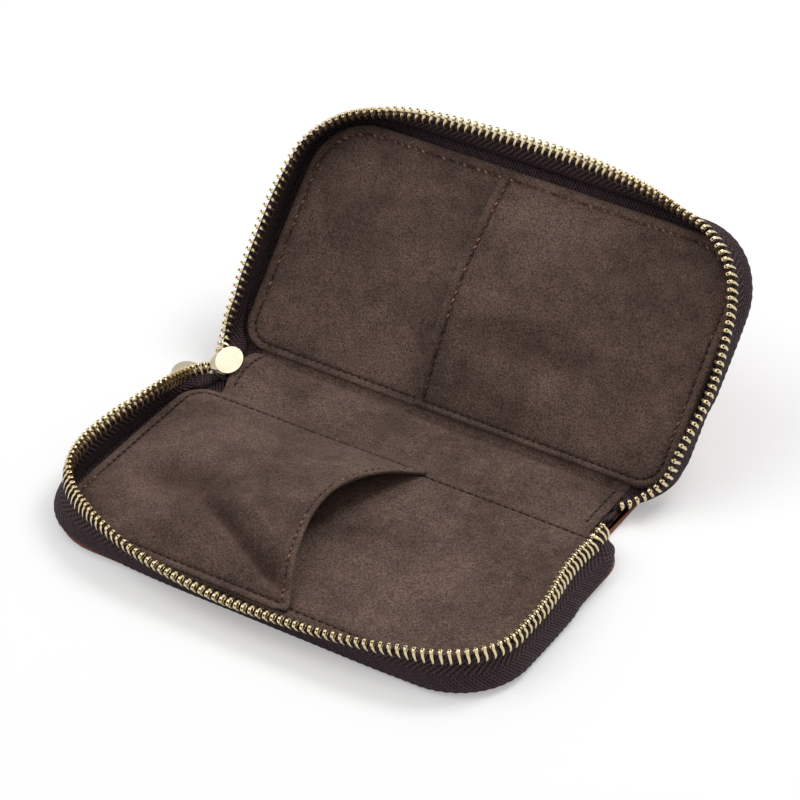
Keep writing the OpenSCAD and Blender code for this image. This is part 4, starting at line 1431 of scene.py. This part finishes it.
class CASE_OT_tapes(bpy.types.Operator):
    """Woven zip tape round both halves and over the folds"""

    bl_idname = "case.tapes"
    bl_label = "Zip tapes"

    def execute(self, context):
        for half in ("base", "lid"):
            parts = whole_zip(half)[0]
            points, faces, uv = strip_solid(zip_rows(parts), tape_half(), ribs)
            piece = put(f"{half}_tape_woven", points, faces, "tape", uv)
            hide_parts(f"{half}_tape")
            blend_fold(piece, half, *LEAD_REACH[half])
        for node in ("zip_stub", "zip_tails"):
            dress_node(node, "tape")
        return {"FINISHED"}


class CASE_OT_teeth(bpy.types.Operator):
    """Brass teeth round both halves, over the folds and in the slider"""

    bl_idname = "case.teeth"
    bl_label = "Zip teeth"

    def execute(self, context):
        points, faces = tooth_mesh()
        for half, outwards in (("base", -1), ("lid", 1)):
            tooth = points * (outwards, 1, 1)
            piece = put(f"{half}_teeth_row", *copies(tooth, faces, row_places(half)), "teeth", sharp=40)
            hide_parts(f"{half}_teeth")
            blend_fold(piece, half, *LEAD_REACH[half])
        dress_node("joined_teeth", "teeth")
        return {"FINISHED"}


class CASE_OT_slider(bpy.types.Operator):
    """Slider, bails and pulls"""

    bl_idname = "case.slider"
    bl_label = "Slider and pulls"

    def execute(self, context):
        for node in ("slider_body", "inner_bail", "outer_bail", "inner_pull", "outer_pull"):
            dress_node(node, "metal")
            soft = frame["nodes"][node].modifiers.new("edges", "BEVEL")
            soft.width, soft.segments, soft.limit_method = 0.25 * MM, 3, "ANGLE"
        return {"FINISHED"}


# How deep the stitch lines lie in the suede and in the leather, and how far the spine's seams keep
# from the folds
SUEDE_SINK = 0.26
LEATHER_SINK = 0.22
SPINE_SEAM_IN = 2.4


class CASE_OT_seams(bpy.types.Operator):
    """Stitched seams of the linings, pockets, spine and outer leather"""

    bl_idname = "case.seams"
    bl_label = "Seams"

    def execute(self, context):
        line = seam_ring()
        x, y = line.T
        far = smooth01((y - 12) / 10)
        # How strong the stitches' painted highlight is along each half's seam
        highlight = {"base": smooth01((-x - 62) / 6) * smooth01((y - 50) / 10), "lid": far}
        for half, p in POCKETS.items():
            hem = -p["side"] * mm(p["hem"])
            inside = (x - hem) * p["side"] > 0.5
            top = np.where(inside, pocket_over(half, x, y), lining_over(half, x, y)) - SUEDE_SINK
            out = np.stack([0 * x, 0 * x, 1 + 0 * x], 1)
            turn = on_half(half, out) - on_half(half, np.zeros((len(x), 3)))
            inner = on_half(half, np.column_stack([line, top]))
            stitches(f"{half}_seam", inner, turn, half, True, warm=highlight[half])
            under = on_half(half, np.column_stack([line, 0 * x + LEATHER_SINK]))
            stitches(f"{half}_seam_outside", under, -turn, half, True, warm=0.6)
            seam = mm("seam_in") - mm("pocket_in")
            hem_y = np.linspace(mm("fold_seam") + 0.5, HALF_D - mm("seam_in") - 0.5, 90)
            hem_x = 0 * hem_y + hem + p["side"] * seam
            flat = np.column_stack([hem_x, hem_y, pocket_over(half, hem_x, hem_y) - SUEDE_SINK])
            across = on_half(half, drawn(half, flat))
            stitches(f"{half}_hem_seam", across, turn[: len(hem_y)], half, warm=0.8)
        span = np.linspace(FOLD_Y + SPINE_SEAM_IN, LID_FOLD_Y - SPINE_SEAM_IN, 20)
        left, right = spine_ends(span)
        for name, at in (("left", left + mm("spine_seam")), ("right", right - mm("spine_seam"))):
            top = SPINE_TOP + 0.05 + spine_lift(at, span, left, right)[0]
            upright = np.tile([0, 0, 1.0], (len(span), 1))
            stitches(f"spine_seam_{name}", np.column_stack([at, span, top]), upright, "spine")
        return {"FINISHED"}


# Where the camera looks and stands, in millimetres
TARGET = (-19.56, 72.06, 0.0)
CAMERA = (454.39, -689.67, 659.74)
# Its film and lens in millimetres, and the nearest and farthest that it sees in metres
FILM_W = 36
LENS = 157.5
NEAR = 0.05
FAR = 20


class CASE_OT_stage(bpy.types.Operator):
    """Pale floor, soft light and the camera"""

    bl_idname = "case.stage"
    bl_label = "Stage"

    def execute(self, context):
        scene = context.scene
        scene.view_settings.view_transform = "Standard"
        data = bpy.data.cameras.new("camera")
        data.sensor_width, data.lens = FILM_W, LENS
        data.clip_start, data.clip_end = NEAR, FAR
        camera = linked("camera", data)
        camera.location = [v * MM for v in CAMERA]
        camera.rotation_euler = (Vector(TARGET) - Vector(CAMERA)).to_track_quat("-Z", "Y").to_euler()
        scene.camera = camera
        self.world(scene)
        self.floor()
        self.lamp("key", (0.25, 0.65, 0.95), 0.45, 4.6)
        self.lamp("fill", (-0.5, -0.3, 1.1), 1.0, 3.6)
        return {"FINISHED"}

    def direct(self, tree):
        """1 for rays that show the surroundings straight, mirrored or through glass, 0 for soft light."""
        plain = add(tree, "LightPath", out="Is Camera Ray")
        glossy = add(tree, "LightPath", out="Is Glossy Ray")
        clear = add(tree, "LightPath", out="Is Transmission Ray")
        seen = add(tree, "Math", {0: plain, 1: glossy}, operation="MAXIMUM")
        return add(tree, "Math", {0: seen, 1: clear}, operation="MAXIMUM")

    def world(self, scene):
        """Soft white light all round."""
        world = bpy.data.worlds.new("soft white room")
        world.use_nodes = True
        tree = world.node_tree
        tree.nodes.clear()
        strength = add(tree, "Math", {0: self.direct(tree), 1: 0.54, 2: 0.46}, operation="MULTIPLY_ADD")
        back = add(tree, "Background", {"Color": (1, 1, 1, 1), "Strength": strength})
        add(tree, "OutputWorld", {"Surface": back})
        scene.world = world

    def floor(self):
        """A wide floor that glows where it is seen, so that it meets the white behind it."""
        found, tree = new_tree("floor, matt white sweep")
        glow = add(tree, "Math", {0: self.direct(tree), 1: 0.3}, operation="MULTIPLY")
        shader = add(tree, "BsdfPrincipled", {"Base Color": (0.8, 0.8, 0.8, 1), "Roughness": 0.9,
                     "Specular IOR Level": 0.1, "Emission Color": (1, 1, 1, 1), "Emission Strength": glow})
        add(tree, "OutputMaterial", {"Surface": shader})
        work = bmesh.new()
        bmesh.ops.create_grid(work, x_segments=8, y_segments=8, size=4)
        data = mesh_from(work, "floor")
        data.materials.append(found)
        linked("floor", data)

    def lamp(self, name, place, size, power):
        """A round lamp of a size in metres and a power in watts, turned towards the case."""
        data = bpy.data.lights.new(name, "AREA")
        data.shape, data.size, data.energy = "DISK", size, power
        lamp = linked(name, data)
        lamp.location = place
        lamp.rotation_euler = (Vector((0, 0.05, 0)) - Vector(place)).to_track_quat("-Z", "Y").to_euler()


STEPS = (CASE_OT_stage, CASE_OT_inner_layers, CASE_OT_leather, CASE_OT_linings, CASE_OT_pockets,
         CASE_OT_tapes, CASE_OT_teeth, CASE_OT_slider, CASE_OT_seams)


class CASE_PT_panel(bpy.types.Panel):
    """Lists the steps and the sizes"""

    bl_idname = "CASE_PT_panel"
    bl_label = "Watch case"
    bl_space_type = "VIEW_3D"
    bl_region_type = "UI"
    bl_category = "Watch case"

    def draw(self, context):
        for step in STEPS:
            self.layout.operator(step.bl_idname)
        for group in (context.scene.case_sizes, context.scene.case_colours):
            for name in group.bl_rna.properties.keys():
                if name not in ("rna_type", "name"):
                    self.layout.prop(group, name)


CLASSES = (CaseSizes, CaseColours, *STEPS, CASE_PT_panel)


def register():
    for cls in CLASSES:
        bpy.utils.register_class(cls)
    bpy.types.Scene.case_sizes = bpy.props.PointerProperty(type=CaseSizes)
    bpy.types.Scene.case_colours = bpy.props.PointerProperty(type=CaseColours)


def unregister():
    del bpy.types.Scene.case_colours
    del bpy.types.Scene.case_sizes
    for cls in reversed(CLASSES):
        bpy.utils.unregister_class(cls)


def main():
    register()
    for step in STEPS:
        group, call = step.bl_idname.split(".")
        getattr(getattr(bpy.ops, group), call)()


if __name__ == "__main__":
    main()
